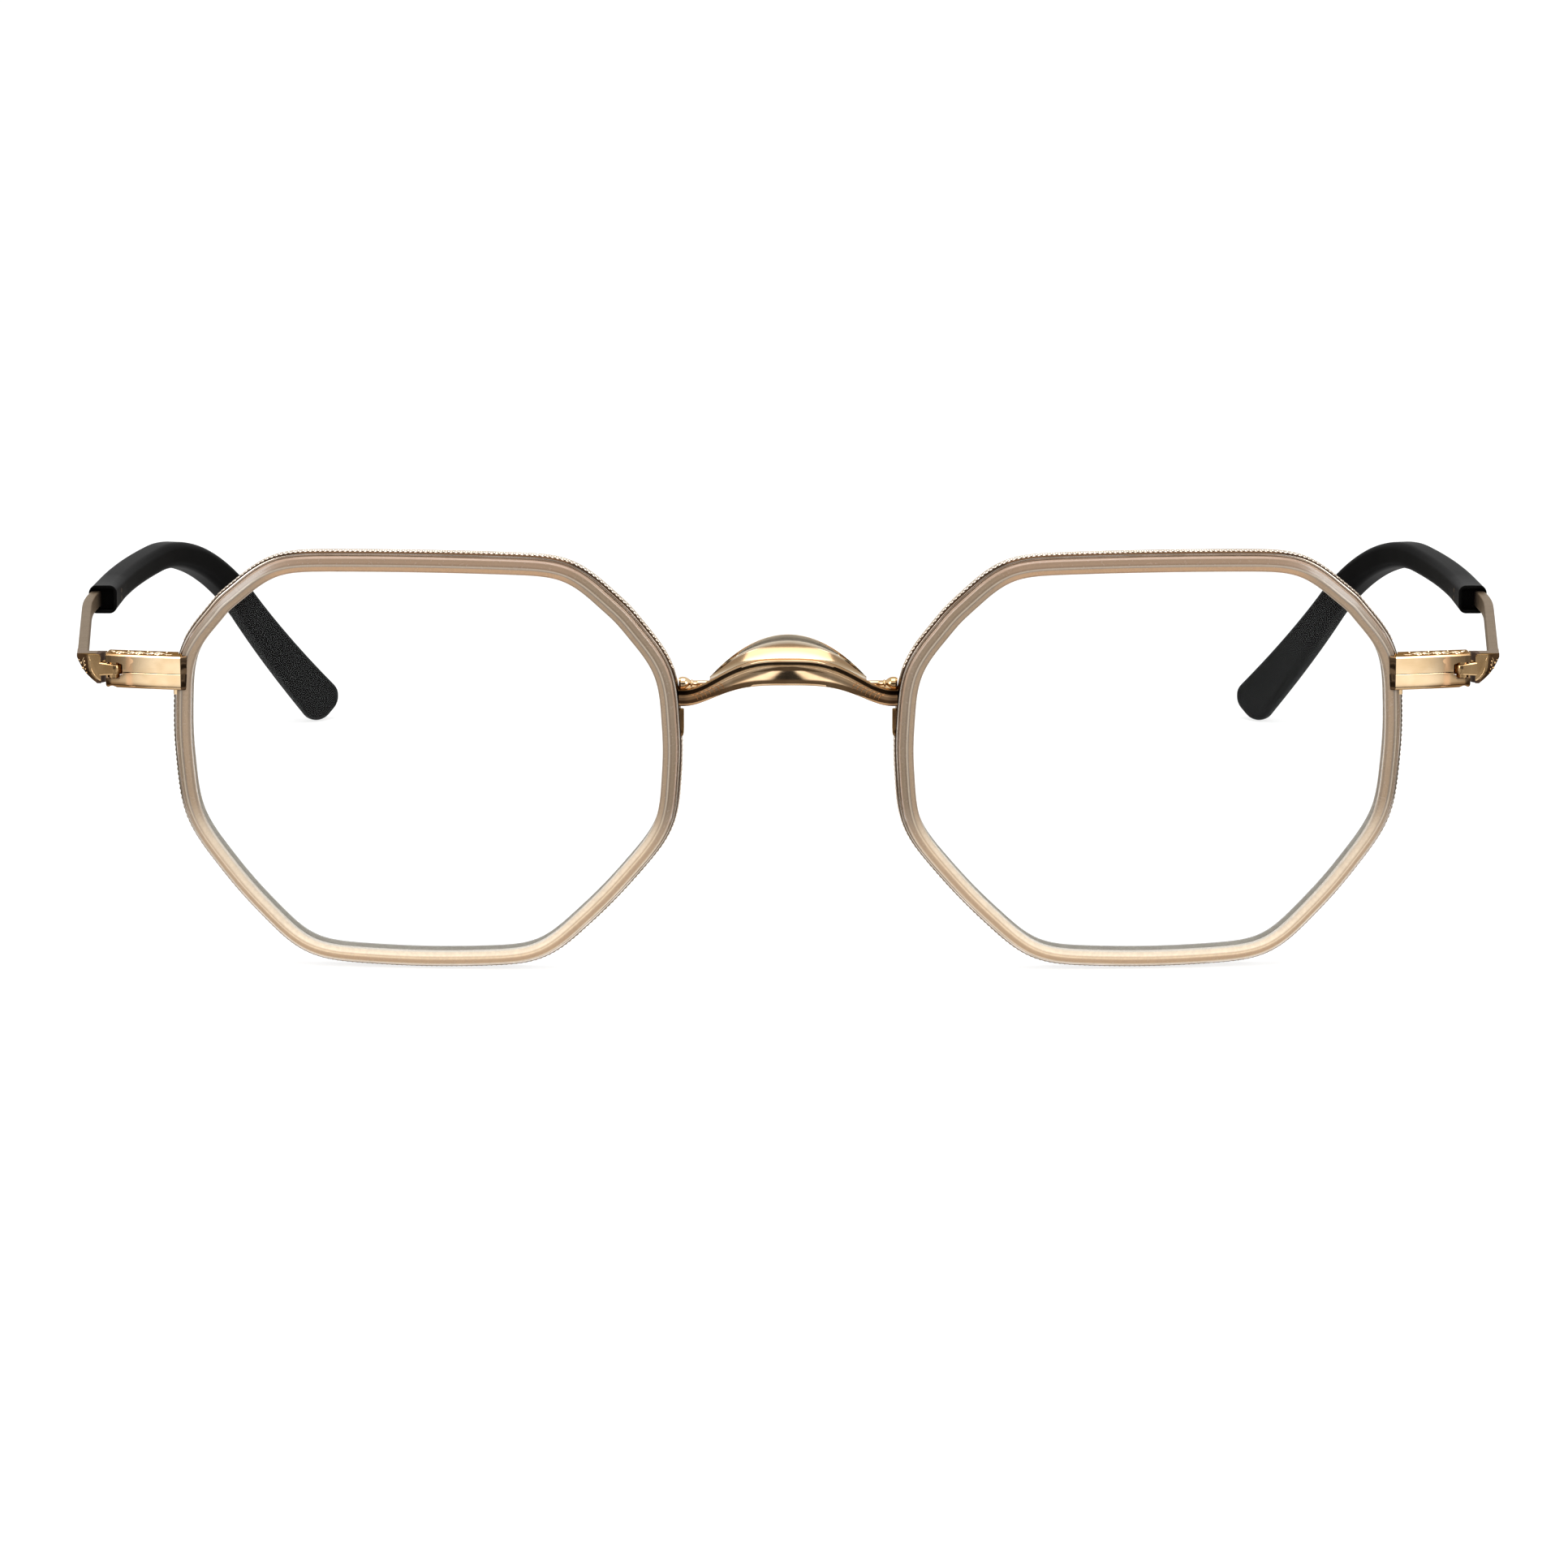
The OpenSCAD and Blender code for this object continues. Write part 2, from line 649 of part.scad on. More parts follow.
// Tip: rounded sleeve with a pocket in its front end, from which a bore runs back round the core
bore_end = strip_l + core_l + core_end_gap;
function tip_out(s) = strip_t / 2 + lookup(s, [[strip_l, tip_lip], [strip_l + heel_l, tip_wall]]);
function tip_width(s) = lookup(s, [[ear_l, tip_w], [temple_l, tip_end_w]]);
function tip_in(s) = tip_out(s) - tip_width(s);
function tip_half(s) = lookup(s, [
    [strip_l, tip_h / 2], [strip_l + heel_l, tip_neck_h / 2], [ear_l - bend_l / 2, tip_neck_h / 2],
    [ear_l + bend_l / 2, tip_drop_h / 2], [temple_l, tip_end_h / 2]
]);
function tip_section(s, cut_w, cut_h) =
    course_round_rect(
        s, tip_in(s) + cut_w, tip_out(s) - cut_w,
        -tip_half(s) + cut_h, tip_half(s) - cut_h, min(tip_r, tip_width(s) / 2 - cut_w - bore_r)
    );
function bore_section(s) =
    course_round_rect(
        s, -core_t / 2 - core_gap, core_t / 2 + core_gap,
        -core_h / 2 - core_gap, core_h / 2 + core_gap, bore_r
    );
function pocket_section(s) =
    course_round_rect(
        s, tip_in(strip_l) + pocket_wall, strip_t / 2 + core_gap,
        -tip_h / 2 + pocket_wall, tip_h / 2 - pocket_wall, pocket_r
    );
// Section of the tip's rounded rear end, at an angle from 0 where the rounding starts to 90 at the end
function dome_section(a) =
    tip_section(temple_l - dome_l * (1 - sin(a)), dome_w * (1 - cos(a)), dome_l * (1 - cos(a)));
dome_last = 75;
tip_sections = concat(
    [for (i = [course_n : -1 : 0], s = [course_s(i)]) 
        if (s > strip_l + pocket_d + root_l && s < bore_end) bore_section(s)],
    [bore_section(strip_l + pocket_d), pocket_section(strip_l + pocket_d), pocket_section(strip_l)],
    [tip_section(strip_l, 0, 0)],
    [for (i = [0 : course_n], s = [course_s(i)]) if (s > strip_l + root_l && s < temple_l - dome_l - root_l)
        tip_section(s, 0, 0)],
    [for (a = [0 : dome_last / 5 : dome_last]) dome_section(a)]
);
pin_s = strip_l + pin_back;
pin_root = core_t / 2 + core_gap + seat_gap;
module tip_pins_solid(grow) {
    reach = tip_width(pin_s) - tip_out(pin_s);
    for (k = [-0.5, 0.5])
        translate(course_at(pin_s) + course_up(pin_s) * k * tip_pin_pitch)
            rotate([0, 0, -turn_at(pin_s)]) rotate([0, -90, 0]) translate([0, 0, pin_root])
                cylinder(d = tip_pin_d + 2 * grow, h = reach - pin_root + (grow > 0 ? tip_wall : 0));
}
module temple_tip(side) {
    color(black) on_side(side) front_stance() hinge_stance()
        difference() {
            skin_of(tip_sections);
            tip_pins_solid(seat_gap);
        }
}
module tip_pins(side) {
    color(satin_gold) on_side(side) front_stance() hinge_stance() tip_pins_solid(0);
}

// Bridge bar: arched strip between the rims
bar_z = lens_z + bar_up;
bar_end_y = lens_y - edge_r * sin(wrap) + bar_back;
bar_half = lens_x - edge_r;
bar_steps = 12;
function bar_drop(t) = bar_rise * (bar_arch * t * t + (1 - bar_arch) * pow(t, 4));
function bar_front(t) = bar_end_y - bar_bow * (1 - t * t);
function bar_height(t) = bar_h + (bar_end_h - bar_h) * t * t;
function bar_section(x) =
    let (t = abs(x) / bar_half, y = bar_front(t), z = bar_z - bar_drop(t), h = bar_height(t) / 2)
    [[x, y, z - h], [x, y, z + h], [x, y + bar_t, z + h], [x, y + bar_t, z - h]];
module bridge_bar() {
    color(gold) front_stance()
        difference() {
            skin_of([for (i = [-bar_steps : bar_steps]) bar_section(i / bar_steps * (bar_half + rim_out))]);
            rim_space(seat_gap);
            mirror([1, 0, 0]) rim_space(seat_gap);
        }
}

// Saddle: hollowed plate from the back of the bar to a higher, rounder lip
saddle_steps = 12;
saddle_across = 6;
function saddle_point(x, v) =
    let (
        t = x / saddle_half,
        tb = abs(x) / bar_half,
        front_z = bar_z - bar_drop(tb) + saddle_up,
        lip_z = bar_z + bar_h / 2 + lip_up - lip_rise * t * t,
        reach = saddle_d - saddle_taper * t * t,
        y = bar_front(tb) + bar_t + seat_gap + reach * v
    )
    [x, y, front_z + (lip_z - front_z) * v - hollow * (1 - t * t) * 4 * v * (1 - v)];
function saddle_section(x) = concat(
    [for (j = [0 : saddle_across]) saddle_point(x, j / saddle_across)],
    [for (j = [saddle_across : -1 : 0]) saddle_point(x, j / saddle_across) - [0, 0, saddle_t]]
);
module nose_saddle() {
    color(gold) front_stance()
        skin_of([for (i = [-saddle_steps : saddle_steps]) saddle_section(i / saddle_steps * saddle_half)]);
}

// Round arm from the saddle to the rim, with its bulb
arm_z = lens_z + arm_up;
arm_l = bar_half - saddle_half - seat_gap;
arm_y = bar_end_y + bar_t + arm_d / 2 + seat_gap;
module bridge_arm(side) {
    color(gold) on_side(side) front_stance()
        difference() {
            translate([saddle_half + seat_gap, arm_y, arm_z]) rotate([0, 90, 0])
                rotate_extrude() polygon([
                    [0, 0], [arm_d / 2, 0], [arm_d / 2, arm_l - bulb_l],
                    [bulb_d / 2, arm_l - bulb_l + bulb_taper],
                    [bulb_d / 2, arm_l + rim_out], [0, arm_l + rim_out]
                ]);
            rim_space(seat_gap);
        }
}
// Solder pad along the nose side of the rim, below the bar
module bridge_pad(side) {
    color(gold) on_side(side) front_stance()
        difference() {
            translate([bar_half - pad_t, bar_end_y, bar_z - bar_rise - bar_end_h / 2 - pad_h])
                cube([pad_t + rim_out, bar_t, pad_h]);
            rim_space(seat_gap);
        }
}

rim("right");  // rim_right
rim("left");  // rim_left
liner("right");  // liner_right
liner("left");  // liner_left
lens("right");  // lens_right
lens("left");  // lens_left
bridge_bar();
nose_saddle();
bridge_arm("right");  // bridge_arm_right
bridge_arm("left");  // bridge_arm_left
bridge_pad("right");  // bridge_pad_right
bridge_pad("left");  // bridge_pad_left
endpiece_upper("right");  // endpiece_upper_right
endpiece_upper("left");  // endpiece_upper_left
endpiece_lower("right");  // endpiece_lower_right
endpiece_lower("left");  // endpiece_lower_left
closing_screw("right");  // closing_screw_right
closing_screw("left");  // closing_screw_left
hinge_screw("right");  // hinge_screw_right
hinge_screw("left");  // hinge_screw_left
hinge_block("right");  // hinge_block_right
hinge_block("left");  // hinge_block_left
temple_strip("right");  // temple_strip_right
temple_strip("left");  // temple_strip_left
temple_tip("right");  // temple_tip_right
temple_tip("left");  // temple_tip_left
tip_pins("right");  // tip_pins_right
tip_pins("left");  // tip_pins_left
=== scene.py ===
import math

import bmesh
import bpy
import numpy as np
from mathutils import Matrix, Vector


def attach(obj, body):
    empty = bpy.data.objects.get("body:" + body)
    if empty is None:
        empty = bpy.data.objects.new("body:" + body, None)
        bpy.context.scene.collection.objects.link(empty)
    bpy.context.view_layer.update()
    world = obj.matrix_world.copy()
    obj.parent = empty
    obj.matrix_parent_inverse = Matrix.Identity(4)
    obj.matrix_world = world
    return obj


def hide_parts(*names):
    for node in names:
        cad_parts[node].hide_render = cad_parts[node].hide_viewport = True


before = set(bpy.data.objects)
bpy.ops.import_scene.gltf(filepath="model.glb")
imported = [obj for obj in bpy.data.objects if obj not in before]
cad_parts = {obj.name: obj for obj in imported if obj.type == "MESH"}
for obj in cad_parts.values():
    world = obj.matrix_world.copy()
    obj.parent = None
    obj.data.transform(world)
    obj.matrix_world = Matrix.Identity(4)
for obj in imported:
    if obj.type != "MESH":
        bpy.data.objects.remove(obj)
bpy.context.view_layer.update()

# Studio: a pale floor that runs on into a white surround, soft lamps above and beside it,
# and a dark wall behind the camera, whose reflection gives polished metal its brown shadows.
MM = 0.001
scene = bpy.context.scene
scene.view_settings.view_transform = "Standard"


class Signal:
    """One output of a shader node. Sums and products of signals add the nodes that work them out."""

    def __init__(self, shader, node, output=0):
        self.shader = shader
        self.node = node
        self.socket = node.outputs[output]

    def out(self, output):
        return Signal(self.shader, self.node, output)

    def maths(self, operation, first, second):
        kind = "ShaderNodeVectorMath" if self.socket.type == "VECTOR" else "ShaderNodeMath"
        return self.shader.node(kind, {"operation": operation}, {0: first, 1: second})

    def __add__(self, other):
        return self.maths("ADD", self, other)

    def __radd__(self, other):
        return self.maths("ADD", other, self)

    def __sub__(self, other):
        return self.maths("SUBTRACT", self, other)

    def __rsub__(self, other):
        return self.maths("SUBTRACT", other, self)

    def __mul__(self, other):
        return self.maths("MULTIPLY", self, other)

    def __rmul__(self, other):
        return self.maths("MULTIPLY", other, self)

    def band(self, low, high):
        """0 below low, 1 above high, and smooth between them."""
        settings = {"interpolation_type": "SMOOTHSTEP"}
        return self.shader.node("ShaderNodeMapRange", settings, {0: self, 1: low, 2: high})


class Shader:
    """Node tree of a material or of the world."""

    def __init__(self, tree):
        self.tree = tree

    def node(self, kind, settings=None, inputs=None, output=0):
        made = self.tree.nodes.new(kind)
        for name, value in (settings or {}).items():
            if name == "stops":
                self.set_stops(made.color_ramp, value)
            else:
                setattr(made, name, value)
        for key, value in (inputs or {}).items():
            self.feed(made.inputs[key], value)
        return Signal(self, made, output)

    def set_stops(self, ramp, stops):
        while len(ramp.elements) < len(stops):
            ramp.elements.new(1)
        for element, (place, colour) in zip(ramp.elements, stops):
            element.position = place
            element.color = colour

    def feed(self, socket, value):
        if isinstance(value, Signal):
            self.tree.links.new(value.socket, socket)
        else:
            socket.default_value = value

    def mix(self, share, first, second):
        """Colour between two others."""
        settings = {"data_type": "RGBA"}
        return self.node("ShaderNodeMix", settings, {0: share, 6: first, 7: second}, 2)


class Finish(Shader):
    """Material with one Principled shader, whose plain values are given by socket name."""

    def __init__(self, name, **plain):
        self.material = bpy.data.materials.new(name)
        self.material.use_nodes = True
        super().__init__(self.material.node_tree)
        self.surface = self.tree.nodes["Principled BSDF"]
        for socket, value in plain.items():
            self.surface.inputs[socket.replace("_", " ")].default_value = value

    def set(self, **values):
        for socket, value in values.items():
            self.feed(self.surface.inputs[socket.replace("_", " ")], value)

    def grain(self, size, stretch=(1, 1, 1), detail=2):
        """Noise in the object's own space, with grains of the given size in millimetres."""
        place = self.node("ShaderNodeTexCoord", output="Object")
        scale = [1 / (size * MM * s) for s in stretch]
        place = self.node("ShaderNodeMapping", None, {"Vector": place, "Scale": scale})
        return self.node("ShaderNodeTexNoise", None, {"Vector": place, "Scale": 1, "Detail": detail})

    def ramp(self, value, stops):
        """Colour graded over a value, from the value and the screen levels at each stop."""
        stops = [(at, tone(*levels)) for at, *levels in stops]
        return self.node("ShaderNodeValToRGB", {"stops": stops}, {"Fac": value})

    def mark(self, name):
        """Value that a piece's mesh carries at its points."""
        return self.node("ShaderNodeAttribute", {"attribute_name": name}, None, "Fac")

    def relief(self, height, depth):
        """Bump of the given depth in millimetres."""
        inputs = {"Height": height, "Distance": depth * MM, "Strength": 1}
        self.set(Normal=self.node("ShaderNodeBump", None, inputs))


def tone(red, green, blue):
    """Linear colour from the levels that a screen shows it with."""
    levels = [c / 255 for c in (red, green, blue)]
    return [c / 12.92 if c <= 0.04045 else ((c + 0.055) / 1.055) ** 2.4 for c in levels] + [1]


WHITE = (1, 1, 1, 1)
BLACK = (0, 0, 0, 1)


def ray_is_seen(shader):
    """1 for what the camera sees directly, in metal or through glass, 0 for light on the object."""
    path = shader.node("ShaderNodeLightPath")
    seen = path.out("Is Camera Ray") + path.out("Is Glossy Ray") + path.out("Is Transmission Ray")
    return seen.band(0, 1)


def placed(name, data):
    """New object in the scene."""
    made = bpy.data.objects.new(name, data)
    scene.collection.objects.link(made)
    return made


def aimed(name, data, place, aim):
    """Camera or lamp at a place in metres, looking at another."""
    made = placed(name, data)
    made.location = place
    made.rotation_mode = "QUATERNION"
    made.rotation_quaternion = (Vector(aim) - Vector(place)).to_track_quat("-Z", "Y")
    return made


CAMERA_AT = (-0.0004, -0.756149, 0.17369)
CAMERA_AIM = (-0.0004, -0.058789, 0.018785)
camera_data = bpy.data.cameras.new("camera")
camera_data.sensor_width = 36
camera_data.lens = 168.72
camera_data.clip_start = 0.01
camera_data.clip_end = 20
scene.camera = aimed("camera", camera_data, CAMERA_AT, CAMERA_AIM)

ROOM_GREY = (0.55, 0.55, 0.55, 1)
world = bpy.data.worlds.new("surround")
world.use_nodes = True
scene.world = world
surround = Shader(world.node_tree)
surround.feed(
    world.node_tree.nodes["Background"].inputs["Color"],
    surround.mix(ray_is_seen(surround), ROOM_GREY, WHITE),
)

MIDDLE = (0, 0, 0.02)


def lamp(name, place, width, height, watts):
    data = bpy.data.lights.new(name, "AREA")
    data.shape = "RECTANGLE"
    data.size = width
    data.size_y = height
    data.energy = watts
    aimed(name, data, place, MIDDLE)


lamp("lamp_above", (0, -0.15, 1.1), 0.9, 0.7, 9)
lamp("lamp_right", (-0.85, -0.7, 0.55), 0.35, 0.6, 5)
lamp("lamp_left", (0.85, -0.7, 0.55), 0.35, 0.6, 5)


def full_turn(count):
    """Equal steps of angle round a full turn."""
    return np.linspace(0, 2 * math.pi, count, endpoint=False)


def panel(name, corners, faces, paint):
    mesh = bpy.data.meshes.new(name)
    mesh.from_pydata(corners, [], faces)
    mesh.materials.append(paint.material)
    return placed(name, mesh)


FLOOR_R = 2.5
FLOOR_SIDES = 96
FLOOR_Z = -0.00006
FLOOR_UNSEEN = (0.8, 0.8, 0.8, 1)
FLOOR_SEEN = (0.3, 0.3, 0.3, 1)
FLOOR_GLOW = (0.75, 0.75, 0.75, 1)
floor_paint = Finish("pale_floor", Roughness=0.9, Emission_Strength=1)
floor_seen = ray_is_seen(floor_paint)
floor_paint.set(
    Base_Color=floor_paint.mix(floor_seen, FLOOR_UNSEEN, FLOOR_SEEN),
    Emission_Color=floor_paint.mix(floor_seen, BLACK, FLOOR_GLOW),
)
floor_rim = [(math.cos(a) * FLOOR_R, math.sin(a) * FLOOR_R, FLOOR_Z) for a in full_turn(FLOOR_SIDES)]
floor = panel("floor", floor_rim, [list(range(FLOOR_SIDES))], floor_paint)

# The dark wall stands behind the camera and is paler along its foot. Only reflections show it.
WALL_Y = -1.4
WALL_X = 1.1
WALL_HIGH = 0.75
WALL_FOOT = (0.06, 0.1)
WALL_PALE = (0.62, 0.58, 0.52, 1)
WALL_DARK = (0.04, 0.034, 0.028, 1)
wall_paint = Finish("dark_cloth", Base_Color=BLACK, Specular_IOR_Level=0.0, Emission_Strength=1)
wall_place = wall_paint.node("ShaderNodeTexCoord", output="Object")
wall_up = wall_paint.node("ShaderNodeSeparateXYZ", None, {0: wall_place}, "Z")
wall_paint.set(Emission_Color=wall_paint.mix(wall_up.band(*WALL_FOOT), WALL_PALE, WALL_DARK))
wall_corners = [(-WALL_X, WALL_Y, 0), (WALL_X, WALL_Y, 0),
                (WALL_X, WALL_Y, WALL_HIGH), (-WALL_X, WALL_Y, WALL_HIGH)]
wall = panel("dark_wall", wall_corners, [(0, 1, 2, 3)], wall_paint)

# A graded board lies round the object, outside a clear patch. Only reflections show it, as bright
# panes between brown shadows.
BOARD_HOLE = (-0.09, -0.082, 0.09, 0.08)
BOARD_EDGE = (-1.3, -1.3, 1.3, 1.3)
BOARD_Z = 0.0004
BOARD_REACH = 0.25
SHADE_FROM = (0.07, 0.082)
PANES_FROM = (0.1, 0.11)
FAR_FROM = (0.19, 0.22)
FAR_HALF = 0.04
CARD = (0.4, 0.38, 0.35, 1)
CARD_SHADE = (0.14, 0.12, 0.1, 1)
CARD_FAR = (0.1, 0.085, 0.07, 1)
BOARD_PANES = [
    (0, 0.03), (0.004, 0.05), (0.0062, 1.9), (0.0105, 1.9), (0.0135, 0.35), (0.02, 0.25), (0.034, 0.45),
    (0.07, 0.45), (0.084, 1.3), (0.1, 1.2), (0.108, 0.6), (0.118, 0.28), (0.14, 0.3), (0.17, 0.6),
]
board_corners = [(x, y, BOARD_Z) for left, front, right, back in (BOARD_HOLE, BOARD_EDGE)
                 for x, y in ((left, front), (right, front), (right, back), (left, back))]
board_faces = [(0, 1, 5, 4), (1, 2, 6, 5), (2, 3, 7, 6), (3, 0, 4, 7)]
board_paint = Finish("graded_card", Base_Color=BLACK, Specular_IOR_Level=0.0, Emission_Strength=1)
board_place = board_paint.node("ShaderNodeTexCoord", output="Object")
board_x = board_paint.node("ShaderNodeSeparateXYZ", None, {0: board_place}, "X")
to_front = board_x.out("Y") * -1
off_middle = board_paint.node("ShaderNodeMath", {"operation": "ABSOLUTE"}, {0: board_x})
panes = board_paint.node(
    "ShaderNodeValToRGB", {"stops": [(at / BOARD_REACH, (v, v, v, 1)) for at, v in BOARD_PANES]},
    {"Fac": off_middle * (1 / BOARD_REACH)})
board_shade = board_paint.mix(to_front.band(*SHADE_FROM), CARD, CARD_SHADE)
board_shade = board_paint.mix(to_front.band(*PANES_FROM), board_shade, panes)
far = to_front.band(*FAR_FROM) * (FAR_HALF - off_middle).band(0, 0.01)
board_paint.set(Emission_Color=board_paint.mix(far, board_shade, CARD_FAR))
board = panel("graded_board", board_corners, board_faces, board_paint)
for hidden_from in ("camera", "diffuse", "transmission", "shadow"):
    setattr(board, "visible_" + hidden_from, False)
    setattr(wall, "visible_" + hidden_from, False)

# Lenses: clear plastic, ground to the outline of the opening and sprung into the liner's groove.
# Both faces are parts of balls, and the ground edge is frosted and given a faint painted glow.
SIDES = ("right", "left")
CURVE_R = 133
FRONT_FACE = 2.26
EYE_W = 45.2
EYE_H = 37.3
TOP_FLAT = (13.8, 14.6)
BOTTOM_FLAT = (10.7, 11.6)
UPPER_CORNERS = (9.2, 10.3)
CORNER_DOWN = 5.9
TEMPLE_LEAN = 0.4
CORNER_RUN = 4.4
SIDE_BOW = 0.5
SHOULDER = 0.6
OUTLINE_STEPS = 12


def stance(place, degrees, axis):
    """Frame of a part, in millimetres: where it stands and how far it turns about one axis."""
    return Matrix.Translation(place) @ Matrix.Rotation(math.radians(degrees), 4, axis)


FRONT = stance((0, -58.7892, -0.096155), 3.1, "X")
LENS_MIDDLE = (35.1, 2.454, 20.903)
LENS_WRAP = 4
LENS = FRONT @ stance(LENS_MIDDLE, LENS_WRAP, "Z")


def outline_controls():
    """Control points of the eight-sided opening, with u towards the temple."""
    lean = TEMPLE_LEAN / 2
    corners = [
        (-EYE_W / 2, UPPER_CORNERS[0]), (-TOP_FLAT[0], EYE_H / 2),
        (TOP_FLAT[1], EYE_H / 2), (EYE_W / 2 + lean, UPPER_CORNERS[1]),
        (EYE_W / 2 - lean, -CORNER_DOWN), (BOTTOM_FLAT[1], -EYE_H / 2),
        (-BOTTOM_FLAT[0], -EYE_H / 2), (-EYE_W / 2, -CORNER_DOWN),
    ]
    controls = []
    for k, a in enumerate(corners):
        a = np.array(a)
        b = np.array(corners[(k + 1) % len(corners)])
        along = (b - a) / np.linalg.norm(b - a)
        outward = np.array((-along[1], along[0])) * SIDE_BOW
        controls += [
            a, a + along * CORNER_RUN + outward * SHOULDER,
            (a + b) / 2 + outward, b - along * CORNER_RUN + outward * SHOULDER,
        ]
    return np.array(controls)


def opening_outline():
    """Points round the opening and their outward directions, on a smooth curve."""
    p = outline_controls()
    a, b, c, d = (np.roll(p, k, axis=0)[:, None, :] for k in (1, 0, -1, -2))
    t = (np.arange(OUTLINE_STEPS) / OUTLINE_STEPS)[None, :, None]
    place = (a * (1 - t) ** 3 + b * (3 * t ** 3 - 6 * t ** 2 + 4)
             + c * (-3 * t ** 3 + 3 * t ** 2 + 3 * t + 1) + d * t ** 3) / 6
    heading = (-a * (1 - t) ** 2 + b * (3 * t ** 2 - 4 * t)
               + c * (-3 * t ** 2 + 2 * t + 1) + d * t ** 2)
    heading /= np.linalg.norm(heading, axis=2, keepdims=True)
    outward = np.stack((-heading[..., 1], heading[..., 0]), axis=2)
    return place.reshape(-1, 2), outward.reshape(-1, 2)


EYE_POINTS, EYE_OUTWARD = opening_outline()


def on_lens_curve(flat, depth):
    """Points of the lens's own frame, from flat ones and their depth behind the rim's front edge."""
    flat = np.asarray(flat, float)
    y = CURVE_R - FRONT_FACE - np.sqrt((CURVE_R - depth) ** 2 - (flat ** 2).sum(-1))
    return np.stack((flat[..., 0], y + 0 * flat[..., 0], flat[..., 1]), axis=-1)


def round_eye(grow, depth):
    """Ring round the opening, grown outwards and set back from the rim's front edge."""
    return on_lens_curve(EYE_POINTS + EYE_OUTWARD * grow, depth)


class Shell:
    """Closed mesh being made: points in millimetres, faces, and values carried by its points."""

    def __init__(self, points, faces, marks=None):
        self.points = np.asarray(points, float)
        self.faces = [list(f) for f in faces]
        self.marks = marks or {}

    def moved(self, matrix):
        turn = np.array(matrix.to_3x3())
        return Shell(self.points @ turn.T + np.array(matrix.translation), self.faces, self.marks)


def loft(rings, loop=False, marks=None):
    """Skin over rings with as many points each. Its ends are capped, or joined when it loops."""
    rings = np.asarray(rings, float)
    n, m = rings.shape[:2]
    faces = []
    for i in range(n if loop else n - 1):
        for j in range(m):
            a, b = i * m, (i + 1) % n * m
            faces.append((a + j, a + (j + 1) % m, b + (j + 1) % m, b + j))
    if not loop:
        faces.append(tuple(range(m)))
        faces.append(tuple(reversed(range((n - 1) * m, n * m))))
    return Shell(rings.reshape(-1, 3), faces, marks)


def joined(shells):
    """One shell of several. They all carry the marks that the first one does."""
    points, faces, marks = [], [], {}
    start = 0
    for shell in shells:
        points.append(shell.points)
        faces += [[k + start for k in f] for f in shell.faces]
        start += len(shell.points)
    for name in shells[0].marks:
        marks[name] = np.concatenate([s.marks[name] for s in shells])
    return Shell(np.concatenate(points), faces, marks)


def solid_mesh(name, points, faces):
    """Mesh whose faces all look outwards."""
    mesh = bpy.data.meshes.new(name)
    mesh.from_pydata(points.tolist(), [], faces)
    bm = bmesh.new()
    bm.from_mesh(mesh)
    bmesh.ops.recalc_face_normals(bm, faces=bm.faces)
    bm.to_mesh(mesh)
    bm.free()
    return mesh


def make_piece(name, shell, side, finish, sharp=38):
    """Object of a shell drawn for the wearer's left, or its mirror image for the right."""
    points = shell.points * MM
    if side == "right":
        points = points * (-1, 1, 1)
    mesh = solid_mesh(name, points, shell.faces)
    for mark, values in shell.marks.items():
        mesh.attributes.new(mark, "FLOAT", "POINT").data.foreach_set("value", values)
    mesh.shade_smooth()
    mesh.set_sharp_from_angle(angle=math.radians(sharp))
    mesh.materials.append(finish.material)
    return placed(name, mesh)


LENS_GROW = 0.48
LENS_FRONT = 0.05
LENS_BACK = 1.25
LENS_CHAMFER = 0.1
LENS_RINGS = 14
CLEAR_TINT = (0.9, 0.93, 0.93, 1)
FROSTED = (0.82, 0.82, 0.8, 1)
EDGE_PAINTED_GLOW = (0.5, 0.49, 0.47, 1)


def lens_shell():
    """Two curved faces, and the ground edge between them, whose points are marked."""
    flat = EYE_POINTS + EYE_OUTWARD * (LENS_GROW - LENS_CHAMFER)
    shares = np.linspace(1, 0, LENS_RINGS + 1)[:-1]
    rings = [on_lens_curve(flat * s, LENS_FRONT) for s in shares[::-1]]
    rings.append(round_eye(LENS_GROW, LENS_FRONT + LENS_CHAMFER))
    rings.append(round_eye(LENS_GROW, LENS_BACK - LENS_CHAMFER))
    rings += [on_lens_curve(flat * s, LENS_BACK) for s in shares]
    zone = [0] * LENS_RINGS + [1, 1] + [0] * LENS_RINGS
    marks = {"ground": np.repeat(np.array(zone, float), len(flat))}
    return loft(rings, marks=marks)


clear = Finish("clear_lens", IOR=1.5, Specular_IOR_Level=0.2, Emission_Strength=1)
through = clear.node("ShaderNodeBsdfTransparent", None, {"Color": (0.99, 0.992, 0.99, 1)})
veil = clear.node("ShaderNodeFresnel", None, {"IOR": 1.18})
ground = clear.mark("ground")
# The ground edge glows faintly, a painted light that stands in for the light lost in the groove.
clear.set(
    Base_Color=clear.mix(ground, CLEAR_TINT, FROSTED),
    Roughness=ground * 0.4 + 0.03,
    Emission_Color=clear.mix(ground, BLACK, EDGE_PAINTED_GLOW),
)
glass = {0: ground * 0.75 + veil, 1: through, 2: Signal(clear, clear.surface)}
clear.feed(
    clear.tree.nodes["Material Output"].inputs["Surface"],
    clear.node("ShaderNodeMixShader", None, glass),
)

for side in SIDES:
    lens = make_piece(f"clear_lens_{side}", lens_shell().moved(LENS), side, clear)
    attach(lens, "front")
    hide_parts(f"lens_{side}")

